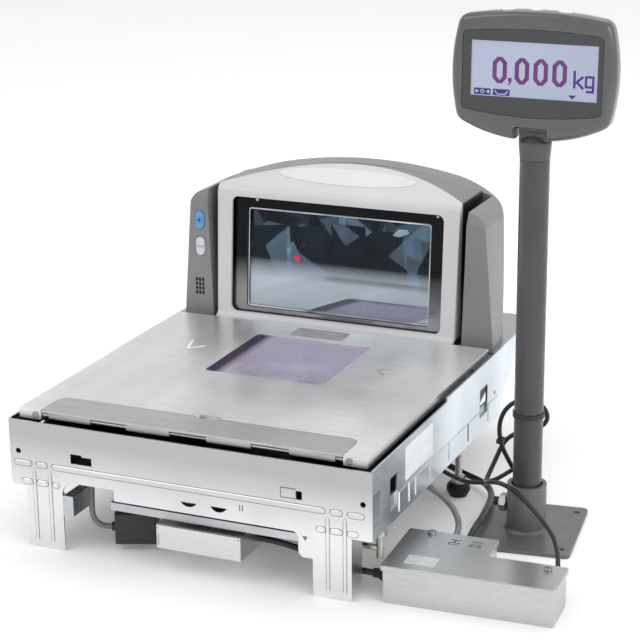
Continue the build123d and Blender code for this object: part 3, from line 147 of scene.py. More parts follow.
# Diameter, length and route of each
CORDS = {
    "scale_cable": (5.0, 115.0, [
        (112.0, 131.0, 46.0),
        (125.0, 131.0, 46.0),
        (138.0, 131.0, 44.0),
        (150.5, 130.5, 40.0),
        (162.0, 128.0, 34.0),
        (171.5, 123.0, 28.0),
        (178.0, 114.5, 22.0),
        (180.5, 104.0, 17.0),
        box_point(28.0, 89.1),
        box_point(28.0, 76.1),
    ]),
    "data_cable": (5.4, 252.6, [
        (98.0, 250.0, 53.5),
        (98.0, 250.0, 39.0),
        (103.5, 249.5, 25.5),
        (115.0, 248.5, 15.5),
        (130.0, 247.0, 9.5),
        (143.5, 243.0, 7.5),
        (156.0, 236.0, 7.5),
        (165.5, 225.0, 8.0),
        (172.5, 212.0, 8.5),
        (176.5, 197.5, 9.0),
        (179.0, 183.0, 9.5),
        (181.0, 168.0, 9.5),
        (183.0, 153.0, 10.0),
        (184.0, 138.0, 10.5),
        (186.0, 123.5, 11.5),
        (188.5, 109.0, 12.5),
        box_point(38.5, 89.1),
        box_point(38.5, 76.1),
    ]),
    "display_cable": (3.8, 404.2, [
        (216.3, 183.75, 11.0),
        (216.0, 192.0, 11.5),
        (213.0, 198.5, 15.0),
        (206.0, 200.5, 22.0),
        (200.0, 199.5, 30.0),
        (195.5, 197.5, 39.0),
        (191.5, 195.0, 48.0),
        (188.0, 192.0, 57.5),
        (185.5, 190.5, 67.5),
        (185.0, 190.0, 78.0),
        (187.5, 190.0, 88.5),
        (194.0, 190.5, 97.5),
        (203.5, 192.0, 102.5),
        (213.5, 194.0, 102.0),
        (221.5, 195.5, 96.0),
        (224.0, 197.0, 86.5),
        (218.0, 198.0, 78.5),
        (208.5, 198.5, 74.0),
        (198.5, 198.5, 71.0),
        (190.0, 198.0, 65.5),
        (185.0, 196.0, 57.5),
        (182.0, 192.5, 48.0),
        (180.0, 185.5, 40.5),
        (180.0, 175.5, 36.5),
        (182.0, 165.5, 37.0),
        (186.0, 156.0, 40.5),
        (192.5, 149.5, 45.5),
        (201.5, 145.0, 47.5),
        (211.5, 142.0, 45.5),
        (221.0, 139.0, 41.0),
        (230.0, 134.0, 36.5),
        (238.0, 127.5, 33.0),
        (245.5, 120.0, 30.5),
        (252.5, 111.0, 29.0),
        (258.5, 102.0, 28.0),
        (263.5, 92.0, 26.5),
        (268.0, 82.0, 24.0),
        (271.0, 72.5, 19.5),
        box_point(120.5, 57.1),
        box_point(120.5, 45.1),
    ]),
    "pole_cable": (3.6, 125.8, [
        (216.3, 179.5, 52.0),
        (216.0, 186.5, 52.0),
        (212.5, 192.5, 50.0),
        (205.0, 194.5, 46.5),
        (197.5, 192.5, 41.5),
        (190.0, 189.5, 36.0),
        (183.0, 186.5, 31.5),
        (175.0, 184.5, 29.0),
        (167.0, 183.5, 28.0),
        (158.5, 183.0, 28.0),
        (150.5, 182.5, 30.5),
        (142.5, 182.0, 33.5),
        (135.5, 181.0, 38.0),
        (128.0, 180.5, 42.5),
        (120.5, 180.0, 46.0),
        (112.0, 180.0, 46.0),
    ]),
    "supply_cable": (4.6, 47.8, [
        (-92.5, 12.5, 53.5),
        (-92.5, 12.5, 46.5),
        (-93.0, 12.5, 36.0),
        (-93.0, 12.5, 25.0),
        (-89.5, 13.5, 19.0),
        boot_point(6.5),
        boot_point(0.0),
    ]),
    "link_cable": (5.0, 96.8, [
        (48.6, 20.5, 26.0),
        (62.0, 20.5, 26.0),
        (75.5, 21.5, 23.5),
        (89.0, 22.5, 20.5),
        (103.0, 23.0, 17.5),
        (117.0, 21.5, 15.0),
        box_point(-25.0, 20.0),
        box_point(-11.0, 20.0),
    ]),
}
GREY_CORDS = ("scale_cable", "supply_cable")


def run_cord(name, diameter, length, points):
    """Round cord on a smooth spline: its thickness is each point's radius, over a bevel of one metre."""
    data = bpy.data.curves.new(name, "CURVE")
    data.dimensions = "3D"
    data.bevel_depth = 1.0
    data.bevel_resolution = 6
    data.resolution_u = 10
    data.use_fill_caps = True
    spline = data.splines.new("NURBS")
    spline.points.add(len(points) - 1)
    for target, point in zip(spline.points, points):
        target.co = (*at(*point), 1)
        target.radius = diameter / 2000
    spline.order_u = 3
    spline.use_endpoint_u = True
    cord = bpy.data.objects.new(name + "_run", data)
    bpy.context.scene.collection.objects.link(cord)
    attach(cord, "base")
    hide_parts(name)
    return cord


cords = {name: run_cord(name, *facts) for name, facts in CORDS.items()}

# Finishes


def tone(red, green, blue):
    """Screen colour, 0 to 255, as the shader's linear one."""
    linear = []
    for value in (red, green, blue):
        share = value / 255
        linear.append(share / 12.92 if share <= 0.04 else ((share + 0.055) / 1.055) ** 2.4)
    return (*linear, 1)


# Sockets of a colour mix node
MIX_COLOURS = (6, 7)
MIX_RESULT = 2


class Finish:
    """A material of one shader, with layers of procedural detail."""

    def __init__(self, name, colour, roughness, metallic=0.0, **sockets):
        self.material = bpy.data.materials.new(name)
        self.material.use_nodes = True
        self.tree = self.material.node_tree
        self.shader = self.tree.nodes["Principled BSDF"]
        self.colour = tone(*colour)
        self.shader.inputs["Base Color"].default_value = self.colour
        self.shader.inputs["Roughness"].default_value = roughness
        self.shader.inputs["Metallic"].default_value = metallic
        for key, value in sockets.items():
            self.shader.inputs[key.replace("_", " ")].default_value = value
        self.place = self.node("ShaderNodeTexCoord").outputs["Object"]

    def node(self, kind, **values):
        made = self.tree.nodes.new(kind)
        for key, value in values.items():
            if hasattr(made, key):
                setattr(made, key, value)
            else:
                made.inputs[key.replace("_", " ")].default_value = value
        return made

    def link(self, source, target):
        self.tree.links.new(source, target)

    def noise(self, scale, stretch=(1, 1, 1), detail=4.0, rough=0.55):
        mapping = self.node("ShaderNodeMapping")
        mapping.inputs["Scale"].default_value = stretch
        self.link(self.place, mapping.inputs["Vector"])
        texture = self.node("ShaderNodeTexNoise", Scale=scale, Detail=detail, Roughness=rough)
        self.link(mapping.outputs["Vector"], texture.inputs["Vector"])
        return texture.outputs["Fac"]

    def cells(self, scale, feature="F1", output="Distance"):
        texture = self.node("ShaderNodeTexVoronoi", Scale=scale)
        texture.feature = feature
        self.link(self.place, texture.inputs["Vector"])
        return texture.outputs[output]

    def along(self, axis):
        """Place along an axis of the shared frame, in metres."""
        split = self.node("ShaderNodeSeparateXYZ")
        self.link(self.place, split.inputs[0])
        return split.outputs[axis]

    def spread(self, value, low, high, to_low, to_high):
        """Value moved from one range to another, held at its ends."""
        node = self.node("ShaderNodeMapRange")
        node.inputs["From Min"].default_value = low
        node.inputs["From Max"].default_value = high
        node.inputs["To Min"].default_value = to_low
        node.inputs["To Max"].default_value = to_high
        self.link(value, node.inputs["Value"])
        return node.outputs["Result"]

    def math(self, first, second, operation):
        node = self.node("ShaderNodeMath", operation=operation)
        for entry, socket in zip((first, second), node.inputs):
            if isinstance(entry, (int, float)):
                socket.default_value = entry
            else:
                self.link(entry, socket)
        return node.outputs["Value"]

    def mix(self, value, first, second):
        """Colour between two, each a socket, a screen colour or a linear one."""
        node = self.node("ShaderNodeMix", data_type="RGBA")
        self.link(value, node.inputs["Factor"])
        for entry, index in zip((first, second), MIX_COLOURS):
            socket = node.inputs[index]
            if not isinstance(entry, tuple):
                self.link(entry, socket)
            elif len(entry) == 3:
                socket.default_value = tone(*entry)
            else:
                socket.default_value = entry
        return node.outputs[MIX_RESULT]

    def base(self):
        """What colours the shader so far."""
        links = self.shader.inputs["Base Color"].links
        return links[0].from_socket if links else self.colour

    def colour_by(self, colour):
        self.link(colour, self.shader.inputs["Base Color"])

    def paint(self, value, first, second, low=0.35, high=0.65):
        """Base colour that runs from the first to the second with value."""
        self.colour_by(self.mix(self.spread(value, low, high, 0, 1), first, second))

    def shine(self, colour, strength):
        """Light of the surface's own, of a colour or a socket."""
        if isinstance(colour, tuple):
            self.shader.inputs["Emission Color"].default_value = colour
        else:
            self.link(colour, self.shader.inputs["Emission Color"])
        self.shader.inputs["Emission Strength"].default_value = strength

    def gloss(self, value, to_low, to_high, low=0.35, high=0.65):
        self.link(self.spread(value, low, high, to_low, to_high), self.shader.inputs["Roughness"])

    def relief(self, value, depth, strength=1.0):
        """Bump of that depth in millimetres, on top of any before it."""
        node = self.node("ShaderNodeBump", Strength=strength, Distance=depth / 1000)
        self.link(value, node.inputs["Height"])
        old = self.shader.inputs["Normal"].links
        if old:
            self.link(old[0].from_socket, node.inputs["Normal"])
        self.link(node.outputs["Normal"], self.shader.inputs["Normal"])

    def soft_edges(self, radius):
        """Rounds the look of sharp edges, radius in millimetres."""
        node = self.node("ShaderNodeBevel", samples=4, Radius=radius / 1000)
        self.link(node.outputs["Normal"], self.shader.inputs["Normal"])
        return node

    def wear_and_edge_highlight(self, bevel, colour, amount=0.6):
        """Lighter colour at sharp edges, where the rounded normal leaves the flat one: partly rubbed wear,
        partly a painted edge highlight.
        """
        flat = self.node("ShaderNodeNewGeometry").outputs["Normal"]
        dot = self.node("ShaderNodeVectorMath", operation="DOT_PRODUCT")
        self.link(bevel.outputs["Normal"], dot.inputs[0])
        self.link(flat, dot.inputs[1])
        edge = self.spread(dot.outputs["Value"], 0.80, 0.995, amount, 0.0)
        patches = self.spread(self.noise(260, detail=3), 0.35, 0.65, 0.2, 1.0)
        self.colour_by(self.mix(self.math(edge, patches, "MULTIPLY"), self.base(), colour))

    def anisotropy(self, amount, way):
        """Highlights drawn out along a direction."""
        self.shader.inputs["Anisotropic"].default_value = amount
        node = self.node("ShaderNodeCombineXYZ")
        for socket, value in zip(node.inputs, way):
            socket.default_value = value
        self.link(node.outputs[0], self.shader.inputs["Tangent"])


def brushed(name, dark, light, rough, stretch, grain=0.004, way=None, edge=0.35, streaks=False):
    """Stainless sheet: fine brush lines one way, faint wipe marks and cleaning streaks, softened edges."""
    finish = Finish(name, light, rough, 1.0)
    finish.soft_edges(edge)
    lines = finish.noise(1500, stretch, 3, 0.7)
    wipes = finish.noise(7, detail=3, rough=0.5)
    finish.paint(lines, dark, light, 0.25, 0.6)
    finish.gloss(wipes, rough * 0.85, rough * 1.2)
    finish.relief(lines, grain, 0.5)
    if way:
        finish.anisotropy(0.75, way)
    if streaks:
        slow = finish.spread(finish.noise(18, (1, 0.03, 1), 2), 0.38, 0.66, 0, 1)
        bands = finish.mix(slow, (240, 240, 240), (255, 255, 255))
        node = finish.node("ShaderNodeMix", data_type="RGBA", blend_type="MULTIPLY", Factor=1.0)
        for source, index in zip((finish.base(), bands), MIX_COLOURS):
            finish.link(source, node.inputs[index])
        finish.colour_by(node.outputs[MIX_RESULT])
    return finish.material


def zinc(name, dark, light, rough, upper=1.0):
    """Zinc-coated sheet: smooth and bright, with slow clouds, a trace of crystals and fine scratches;
    its upper part is darker, at that share of its tone."""
    finish = Finish(name, light, rough, 1.0)
    bevel = finish.soft_edges(0.35)
    clouds = finish.noise(11, detail=3, rough=0.5)
    finish.paint(clouds, dark, light, 0.3, 0.6)
    if upper < 1.0:
        toward_top = finish.spread(finish.along("Z"), *FRONT_DARKER_TOP_Z, 0.0, 1.0)
        deep = tuple(round(value * upper) for value in dark)
        finish.colour_by(finish.mix(toward_top, finish.base(), deep))
    finish.gloss(clouds, rough * 0.85, rough * 1.15)
    finish.relief(finish.cells(420), 0.006, 0.25)
    finish.relief(finish.noise(16, detail=1), 0.06, 0.3)
    finish.relief(finish.noise(800, (1, 1, 9), 2, 0.7), 0.004, 0.3)
    finish.wear_and_edge_highlight(bevel, (252, 252, 252), 0.4)
    return finish.material


def moulded(name, colour, light, rough, grain, size, edge_wear_and_highlight, amount, coat=0.0):
    """Moulded plastic: fine grain, slow change of tone, and edges lightened to the edge colour, partly
    rubbed wear and partly a painted highlight.
    """
    finish = Finish(name, colour, rough, Coat_Weight=coat, Coat_Roughness=0.12)
    bevel = finish.soft_edges(0.5)
    finish.paint(finish.noise(9, detail=5), colour, light, 0.3, 0.7)
    finish.gloss(finish.noise(45, detail=4), rough * 0.88, min(1.0, rough * 1.15))
    finish.relief(finish.noise(size, detail=2), grain, 0.5)
    finish.wear_and_edge_highlight(bevel, edge_wear_and_highlight, amount)
    return finish.material


def bezel_finish():
    """Silver front with the graphite hood behind its crest, and the shade of the gaps at its sides painted
    black.
    """
    finish = Finish("bezel_silver_with_painted_gap_shade", (206, 204, 205), 0.34)
    bevel = finish.soft_edges(0.5)
    finish.paint(finish.noise(9, detail=5), (206, 204, 205), (214, 212, 213), 0.3, 0.7)
    finish.wear_and_edge_highlight(bevel, (238, 238, 238), 0.2)
    from_middle = finish.math(finish.along("X"), SHIFT[0] / 1000, "ADD")
    across = finish.math(from_middle, HOOD_HALF / 1000, "DIVIDE")
    squared = finish.math(across, across, "MULTIPLY")
    sweep = finish.math(squared, CREST_SWEEP / 1000, "MULTIPLY")
    crest = finish.math((CREST_Y - SHIFT[1]) / 1000, sweep, "SUBTRACT")
    behind = finish.math(finish.along("Y"), crest, "SUBTRACT")
    hood = finish.mix(finish.spread(behind, *HOOD_FADE, 0, 1), finish.base(), (124, 123, 124))
    # Painted shade: far back at the sides the bezel is painted near black, for the shade in the gaps
    # beside the shell.
    side = finish.spread(squared, *SIDE_GAP_SHADE_SHARE, 0, 1)
    back = finish.spread(finish.along("Y"), *SIDE_GAP_SHADE_Y, 0, 1)
    finish.colour_by(finish.mix(finish.math(side, back, "MULTIPLY"), hood, (20, 20, 21)))
    finish.gloss(finish.noise(45, detail=4), 0.3, 0.38)
    finish.relief(finish.noise(1500, detail=2), 0.014, 0.5)
    return finish.material


def window_frame_finish():
    """Black frame behind the coated front pane, with a painted reflection of the platter that makes its
    lower part paler.
    """
    finish = Finish("housing_black_frame_painted_reflection", (13, 13, 14), 0.12, 0.9)
    # Painted reflection: the lower part is lighter, standing in for the platter mirrored there.
    low = finish.spread(finish.along("Z"), *FRAME_PAINTED_REFLECTION_Z, 1, 0)
    colour = finish.mix(low, (26, 27, 28), (150, 152, 156))
    cloud = finish.spread(finish.noise(30, detail=3), 0.35, 0.65, 0, 0.25)
    finish.colour_by(finish.mix(cloud, colour, (16, 16, 17)))
    finish.gloss(finish.noise(60, detail=4), 0.08, 0.18)
    finish.relief(finish.noise(200, detail=2), 0.004, 0.3)
    return finish.material


def painted(name, colour, light, rough):
    """Powder coat: orange-peel bumps, dusty tone and a clear gloss."""
    finish = Finish(name, colour, rough, Coat_Weight=0.35, Coat_Roughness=0.22)
    bevel = finish.soft_edges(0.6)
    finish.paint(finish.noise(12, detail=6, rough=0.6), colour, light)
    finish.gloss(finish.noise(60, detail=3), rough * 0.85, rough * 1.2)
    finish.relief(finish.noise(700, detail=3), 0.03, 0.5)
    finish.wear_and_edge_highlight(bevel, (150, 150, 152), 0.35)
    return finish.material


def rubber(name, colour, light):
    finish = Finish(name, colour, 0.62, Specular_IOR_Level=0.4)
    finish.paint(finish.noise(60, detail=5), colour, light)
    finish.relief(finish.noise(900, detail=3), 0.03, 0.7)
    return finish.material


def jacket(name, colour, light, rough):
    """Cord jacket with scuffs and a faint ripple."""
    finish = Finish(name, colour, rough)
    finish.paint(finish.noise(70, detail=5), colour, light)
    finish.gloss(finish.noise(130, detail=3), rough * 0.8, rough * 1.25)
    finish.relief(finish.noise(1300, detail=2), 0.02, 0.5)
    return finish.material


def clear(name, tint, shine, shares, limits, axis="Z", rough=0.02, metallic=1.0):
    """Coated glass: what is behind it shows through the tint, under reflections whose share is painted by
    place, going from one share to another between two limits along an axis, in metres."""
    finish = Finish(name, shine, rough, metallic)
    finish.gloss(finish.noise(30, detail=5), rough, rough * 3)
    finish.relief(finish.noise(10, detail=2), 0.01, 0.1)
    through = finish.node("ShaderNodeBsdfTransparent")
    through.inputs["Color"].default_value = tone(*tint)
    fresnel = finish.spread(finish.node("ShaderNodeFresnel", IOR=1.5).outputs["Fac"], 0.04, 1.0, 0.0, 0.8)
    painted_reflection = finish.spread(finish.along(axis), *limits, *shares)
    share = finish.math(painted_reflection, fresnel, "MAXIMUM")
    mix = finish.node("ShaderNodeMixShader")
    finish.link(share, mix.inputs[0])
    finish.link(through.outputs[0], mix.inputs[1])
    finish.link(finish.shader.outputs[0], mix.inputs[2])
    finish.link(mix.outputs[0], finish.tree.nodes["Material Output"].inputs["Surface"])
    return finish.material


def printed(name, colour, light, rough=0.5, metallic=0.0):
    """Thin ink, foil or paper with a faint unevenness."""
    finish = Finish(name, colour, rough, metallic)
    finish.paint(finish.noise(120, detail=4), colour, light)
    finish.gloss(finish.noise(90, detail=3), rough * 0.9, rough * 1.1)
    finish.relief(finish.noise(500, detail=3), 0.01, 0.4)
    return finish.material


def board_finish():
    finish = Finish("circuit_board", (26, 84, 52), 0.35)
    traces = finish.cells(420, "DISTANCE_TO_EDGE")
    finish.paint(traces, (34, 110, 66), (18, 70, 44), 0.02, 0.12)
    finish.relief(traces, 0.05, 0.5)
    return finish.material


def mirror_facets_painted_light():
    """Front-silvered glass facets: smoky blue, some of them lighter and glowing with painted light."""
    finish = Finish("pattern_mirror", (150, 166, 182), 0.05, 1.0)
    facets = finish.node("ShaderNodeSeparateColor")
    finish.link(finish.cells(30, output="Color"), facets.inputs[0])
    # Painted light: some facets are lighter and glow, though nothing lights them.
    painted_light = finish.spread(facets.outputs[0], 0.45, 0.95, 0, 1)
    finish.colour_by(finish.mix(painted_light, (66, 84, 100), (206, 216, 224)))
    finish.shine(finish.mix(painted_light, (6, 12, 18), (150, 166, 178)), 0.5)
    finish.gloss(finish.noise(25, detail=4), 0.03, 0.12)
    finish.relief(finish.noise(14), 0.05, 0.3)
    return finish.material


def engine_finish():
    finish = Finish("scan_engine_metal", (120, 122, 126), 0.35, 1.0)
    finish.soft_edges(0.4)
    finish.paint(finish.noise(60), (88, 90, 94), (150, 152, 156))
    finish.gloss(finish.noise(90), 0.25, 0.45)
    finish.relief(finish.noise(500), 0.03, 0.5)
    return finish.material


def rim_finish():
    finish = Finish("bright_rim", (205, 206, 208), 0.14, 1.0)
    finish.paint(finish.noise(30), (150, 153, 158), (214, 216, 220))
    finish.gloss(finish.noise(60, detail=4), 0.1, 0.22)
    finish.relief(finish.noise(400, detail=2), 0.006, 0.4)
    return finish.material


def screen_finish():
    """Backlit screen: pale, slightly uneven glow, with its cells of dots."""
    finish = Finish("display_screen_glow", (92, 96, 110), 0.3)
    patches = finish.spread(finish.noise(9, detail=1), 0.4, 0.6, 0, 1)
    finish.shine(finish.mix(patches, (162, 170, 192), (176, 182, 202)), 0.82)
    finish.paint(finish.noise(16, detail=2), (88, 92, 106), (98, 102, 114))
    finish.relief(finish.cells(1400), 0.01, 0.2)
    return finish.material


# Painted glow: the collector lens is no lamp; its red light stands in for the laser's light seen in it.
def lens_painted_glow():
    finish = Finish("lens_painted_laser_glow", (140, 12, 30), 0.2)
    finish.paint(finish.noise(900, detail=2), (120, 8, 24), (180, 20, 44))
    finish.shine(tone(255, 30, 70), 2.2)
    return finish.material


def highlight_facet_paint():
    """Glass facet that glows as a painted highlight of light from above."""
    finish = Finish("facet_painted_highlight", (226, 232, 230), 0.12)
    patches = finish.spread(finish.noise(90, detail=2), 0.4, 0.6, 0, 1)
    finish.shine(finish.mix(patches, (205, 215, 214), (244, 248, 244)), 0.8)
    finish.relief(finish.noise(40), 0.05, 0.3)
    return finish.material


BRUSH = (0.02, 1, 1)
ACROSS = (0, 1, 0)
STEEL = brushed(
    "platter_brushed_steel", (224, 223, 222), (246, 245, 244), 0.38, BRUSH, way=ACROSS, streaks=True,
)
RAIL_STEEL = brushed("rail_brushed_steel", (168, 167, 166), (204, 203, 202), 0.34, BRUSH, way=ACROSS)
BOX_STEEL = brushed("box_brushed_steel", (186, 186, 185), (202, 202, 201), 0.24, BRUSH, way=ACROSS)
CASE_STEEL = brushed("case_sheet", (204, 203, 201), (220, 219, 217), 0.3, (0.3, 1, 1))
FRONT_ZINC = zinc("front_zinc_sheet", (212, 212, 213), (238, 238, 238), 0.3, 0.85)
SIDE_ZINC = zinc("side_zinc_sheet", (192, 204, 210), (228, 236, 240), 0.27)
INNER_ZINC = zinc("inner_zinc_sheet", (165, 167, 170), (208, 210, 212), 0.34)
FASTENER = zinc("zinc_fasteners", (168, 165, 158), (222, 219, 212), 0.27)
# Painted shade: the corner and lid screws are a darker copy of the fasteners' zinc, for the shade round
# their recesses.
SCREW_PAINTED_SHADE = zinc("screw_steel_painted_shade", (104, 104, 106), (168, 168, 170), 0.3)
DARK_STEEL = zinc("dark_thread_steel", (52, 52, 54), (84, 84, 86), 0.34)
CAST = brushed("cast_aluminium", (150, 151, 153), (200, 202, 204), 0.45, (1, 1, 1), 0.05)
RIM = rim_finish()
BEZEL = bezel_finish()
INLAY = moulded(
    "inlay_white_plastic", (218, 219, 220), (226, 226, 227), 0.3, 0.008, 1500, (250, 250, 250), 0.1,
)
SHELL = moulded(
    "shell_graphite_plastic", (124, 123, 124), (138, 137, 138), 0.36, 0.02, 1400, (190, 190, 190), 0.35,
)
HOUSING = window_frame_finish()
COUPLER = moulded(
    "coupler_black_plastic", (34, 34, 36), (48, 48, 50), 0.45, 0.03, 1000, (110, 110, 112), 0.35,
)
TUB = moulded("tub_black_plastic", (24, 25, 27), (36, 37, 39), 0.5, 0.03, 900, (80, 80, 82), 0.2)
POLE_PAINT = painted("pole_dark_paint", (54, 52, 54), (66, 64, 66), 0.36)
# Painted light: the stand wears the pole's dark paint made lighter, for the light on its upward face.
STAND_PAINT_TOP_LIT = painted("stand_paint_painted_top_light", (92, 91, 93), (104, 103, 105), 0.38)
NECK = moulded("neck_dark_plastic", (70, 69, 70), (82, 81, 82), 0.3, 0.03, 1300, (130, 130, 132), 0.25)
# The display's light edges are mostly a painted highlight.
DISPLAY = moulded(
    "display_dark_plastic", (76, 76, 77), (86, 86, 87), 0.3, 0.02, 1300, (200, 200, 201), 0.6, 0.7,
)
MASK = moulded("display_panel_film", (60, 60, 61), (68, 68, 69), 0.36, 0.01, 1500, (80, 80, 82), 0.1)
RUBBER = rubber("black_rubber", (20, 20, 20), (36, 36, 36))
BLUE = moulded(
    "blue_key_plastic", (78, 150, 208), (104, 170, 220), 0.28, 0.01, 1500, (170, 210, 240), 0.3,
)
WHITE = moulded(
    "white_key_plastic", (206, 207, 210), (218, 219, 222), 0.3, 0.01, 1500, (245, 245, 245), 0.2,
)
KEY = moulded(
    "display_key_plastic", (238, 238, 240), (248, 248, 250), 0.35, 0.01, 1500, (240, 240, 244), 0.2,
)
GREY_JACKET = jacket("grey_cord_jacket", (118, 118, 118), (140, 140, 140), 0.42)
BLACK_JACKET = jacket("black_cord_jacket", (24, 24, 25), (42, 42, 43), 0.34)
# Painted reflection: the pane reflects much more low down than high up.
SCAN_GLASS = clear("coated_scan_glass_painted_reflection", (204, 214, 220), (204, 212, 222), (0.62, 0.02), PANE_PAINTED_REFLECTION_Z)
# Painted shadow: along its left edge the glass reflects little, so it shows dark.
DECK_GLASS = clear(
    "platter_hard_glass_painted_shadow", (150, 132, 172), (200, 190, 212), (0.12, 0.85), DECK_PAINTED_SHADOW_X, "X", 0.16, 0.35,
)
PAPER = printed("bare_label", (236, 238, 240), (246, 247, 248))
FOIL = printed("bare_foil_label", (206, 206, 205), (228, 228, 227), 0.4, 0.4)
PLATE = printed("bare_grey_plate", (150, 149, 151), (168, 167, 169), 0.4)
INK = printed("dark_ink", (44, 44, 46), (58, 58, 60))
HOLE_INK = printed("deep_black_cloth", (10, 10, 11), (20, 20, 21), 0.8)
SHADE_INK = printed("press_shadow", (112, 112, 114), (134, 134, 136), 0.45, 0.6)
BLUE_INK = printed("deep_blue_ink", (22, 66, 122), (30, 78, 138))
GREY_INK = printed("grey_ink", (120, 122, 126), (136, 138, 142))
DIGIT_INK = printed("segment_purple", (96, 48, 116), (114, 54, 122))
UNIT_INK = printed("segment_plum", (70, 42, 122), (86, 46, 126))
ICON_INK = printed("segment_violet", (50, 38, 120), (60, 44, 132))
PALE_INK = printed("segment_gap", (176, 186, 214), (190, 198, 222))
LENS_PAINTED_GLOW = lens_painted_glow()
FACET_PAINTED_HIGHLIGHT = highlight_facet_paint()

NODE_FINISH = {
    STEEL: ["platter"],
    RAIL_STEEL: ["produce_rail"],
    FRONT_ZINC: ["front_panel", "rear_cover"],
    SIDE_ZINC: ["side_panels"],
    INNER_ZINC: ["side_ledges", "rear_strap", "front_brackets"],
    FASTENER: ["adjust_nut_left", "adjust_nut_right", "rail_rod"],
    SCREW_PAINTED_SHADE: ["corner_screws", "lid_screws"],
    CAST: ["load_cell", "scale_spider"],
    RIM: ["window_rim"],
    BEZEL: ["tower_bezel"],
    INLAY: ["bezel_inlay"],
    SHELL: ["tower_shell"],
    HOUSING: ["tower_housing"],
    TUB: ["scanner_tub", "optics_deck", "cord_clamps"],
    COUPLER: ["coupler", "cable_ties"],
    CASE_STEEL: ["interface_box"],
    BOX_STEEL: ["junction_tray", "junction_lid"],
    SCAN_GLASS: ["scan_windows"],
    DECK_GLASS: ["platter_glass"],
    mirror_facets_painted_light(): ["pattern_mirrors", "spinner"],
    engine_finish(): ["scan_engine"],
    board_finish(): ["circuit_boards"],
    RUBBER: ["foot_pad_left", "foot_pad_right", "platter_pads", "box_glands"],
    BLUE: ["blue_button"],
    WHITE: ["white_button"],
    KEY: ["display_key_left", "display_key_middle", "display_key_right"],
    POLE_PAINT: ["pole_tube"],
    STAND_PAINT_TOP_LIT: ["pole_stand"],
    NECK: ["neck"],
    DISPLAY: ["display_bezel", "display_back"],
    MASK: ["display_mask"],
    screen_finish(): ["display_lcd"],
}


def dress(obj, *materials):
    """Give an object these finishes, in the order of its slots."""
    while len(obj.data.materials) < len(materials):
        obj.data.materials.append(None)
    for index, slot in enumerate(obj.material_slots):
        slot.material = materials[min(index, len(materials) - 1)]


for node_material, names in NODE_FINISH.items():
    for node_name in names:
        dress(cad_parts[node_name], node_material)
for cord_name, cord_run in cords.items():
    dress(cord_run, GREY_JACKET if cord_name in GREY_CORDS else BLACK_JACKET)

# Places to put details on: X to the right, Y up or along, Z out of the surface, in millimetres

MILLIMETRES = Matrix.Scale(0.001, 4)
TO_FRONT = Matrix.Rotation(math.radians(90), 4, "X")


def place(x, y, z, turn=Matrix.Identity(4)):
    return Matrix.Translation(at(x, y, z)) @ turn @ MILLIMETRES


def on_front(x, y, z):
    """A surface that faces the front."""
    return place(x, y, z, TO_FRONT)


def on_right(x, y, z):
    """A surface that faces right: X runs to the back."""
    return place(x, y, z, Matrix.Rotation(math.radians(90), 4, "Z") @ TO_FRONT)


def on_lid(x, y):
    """The junction box's lid, in its own turned frame."""
    where = box_point(x, y)
    return place(where[0], where[1], BOX_TOP, Matrix.Rotation(math.radians(BOX_TURN), 4, "Z"))


def on_head(depth):
    """A surface of the display that faces the customer, at that depth before the pole's axis."""
    tilt = Matrix.Rotation(math.radians(HEAD_TILT), 4, "X")
    rise = Matrix.Translation((0, depth / 1000, (HEAD_Z - PIVOT_Z) / 1000))
    return Matrix.Translation(at(*POLE, PIVOT_Z)) @ tilt @ rise @ TO_FRONT @ MILLIMETRES


# Making pieces


def add_piece(name, mesh, body, slot, *materials):
    piece = bpy.data.objects.new(name, mesh)
    bpy.context.scene.collection.objects.link(piece)
    dress(piece, *materials)
    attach(piece, body)
    return piece


def relief_piece(name, loops, thick, where, body, slot, material):
    """Flat piece with those closed outlines, a loop inside another being a hole."""
    edge = min(thick * 0.3, 0.12)
    data = bpy.data.curves.new(name, "CURVE")
    data.dimensions = "2D"
    data.fill_mode = "BOTH"
    data.extrude = thick / 2 - edge
    data.bevel_depth = edge
    data.bevel_resolution = 1
    data.offset = -edge
    for loop in loops:
        spline = data.splines.new("POLY")
        spline.points.add(len(loop) - 1)
        for point, (x, y) in zip(spline.points, loop):
            point.co = (x, y, 0, 1)
        spline.use_cyclic_u = True
    maker = bpy.data.objects.new(name, data)
    bpy.context.scene.collection.objects.link(maker)
    bpy.context.view_layer.update()
    mesh = bpy.data.meshes.new_from_object(maker.evaluated_get(bpy.context.evaluated_depsgraph_get()))
    bpy.data.objects.remove(maker)
    mesh.transform(where @ Matrix.Translation((0, 0, thick / 2)))
    return add_piece(name, mesh, body, slot, material)


def arc(x, y, radius, start, end, steps=8):
    """Points on a round corner, angles in degrees."""
    angles = [math.radians(start + (end - start) * step / steps) for step in range(steps + 1)]
    return [(x + radius * math.cos(angle), y + radius * math.sin(angle)) for angle in angles]


def rounded(width, height, corner, x=0.0, y=0.0):
    """Rectangle with round corners."""
    side, rise = width / 2 - corner, height / 2 - corner
    points = []
    for index, (dx, dy) in enumerate(((side, rise), (-side, rise), (-side, -rise), (side, -rise))):
        points += arc(x + dx, y + dy, corner, 90 * index, 90 * index + 90)
    return points


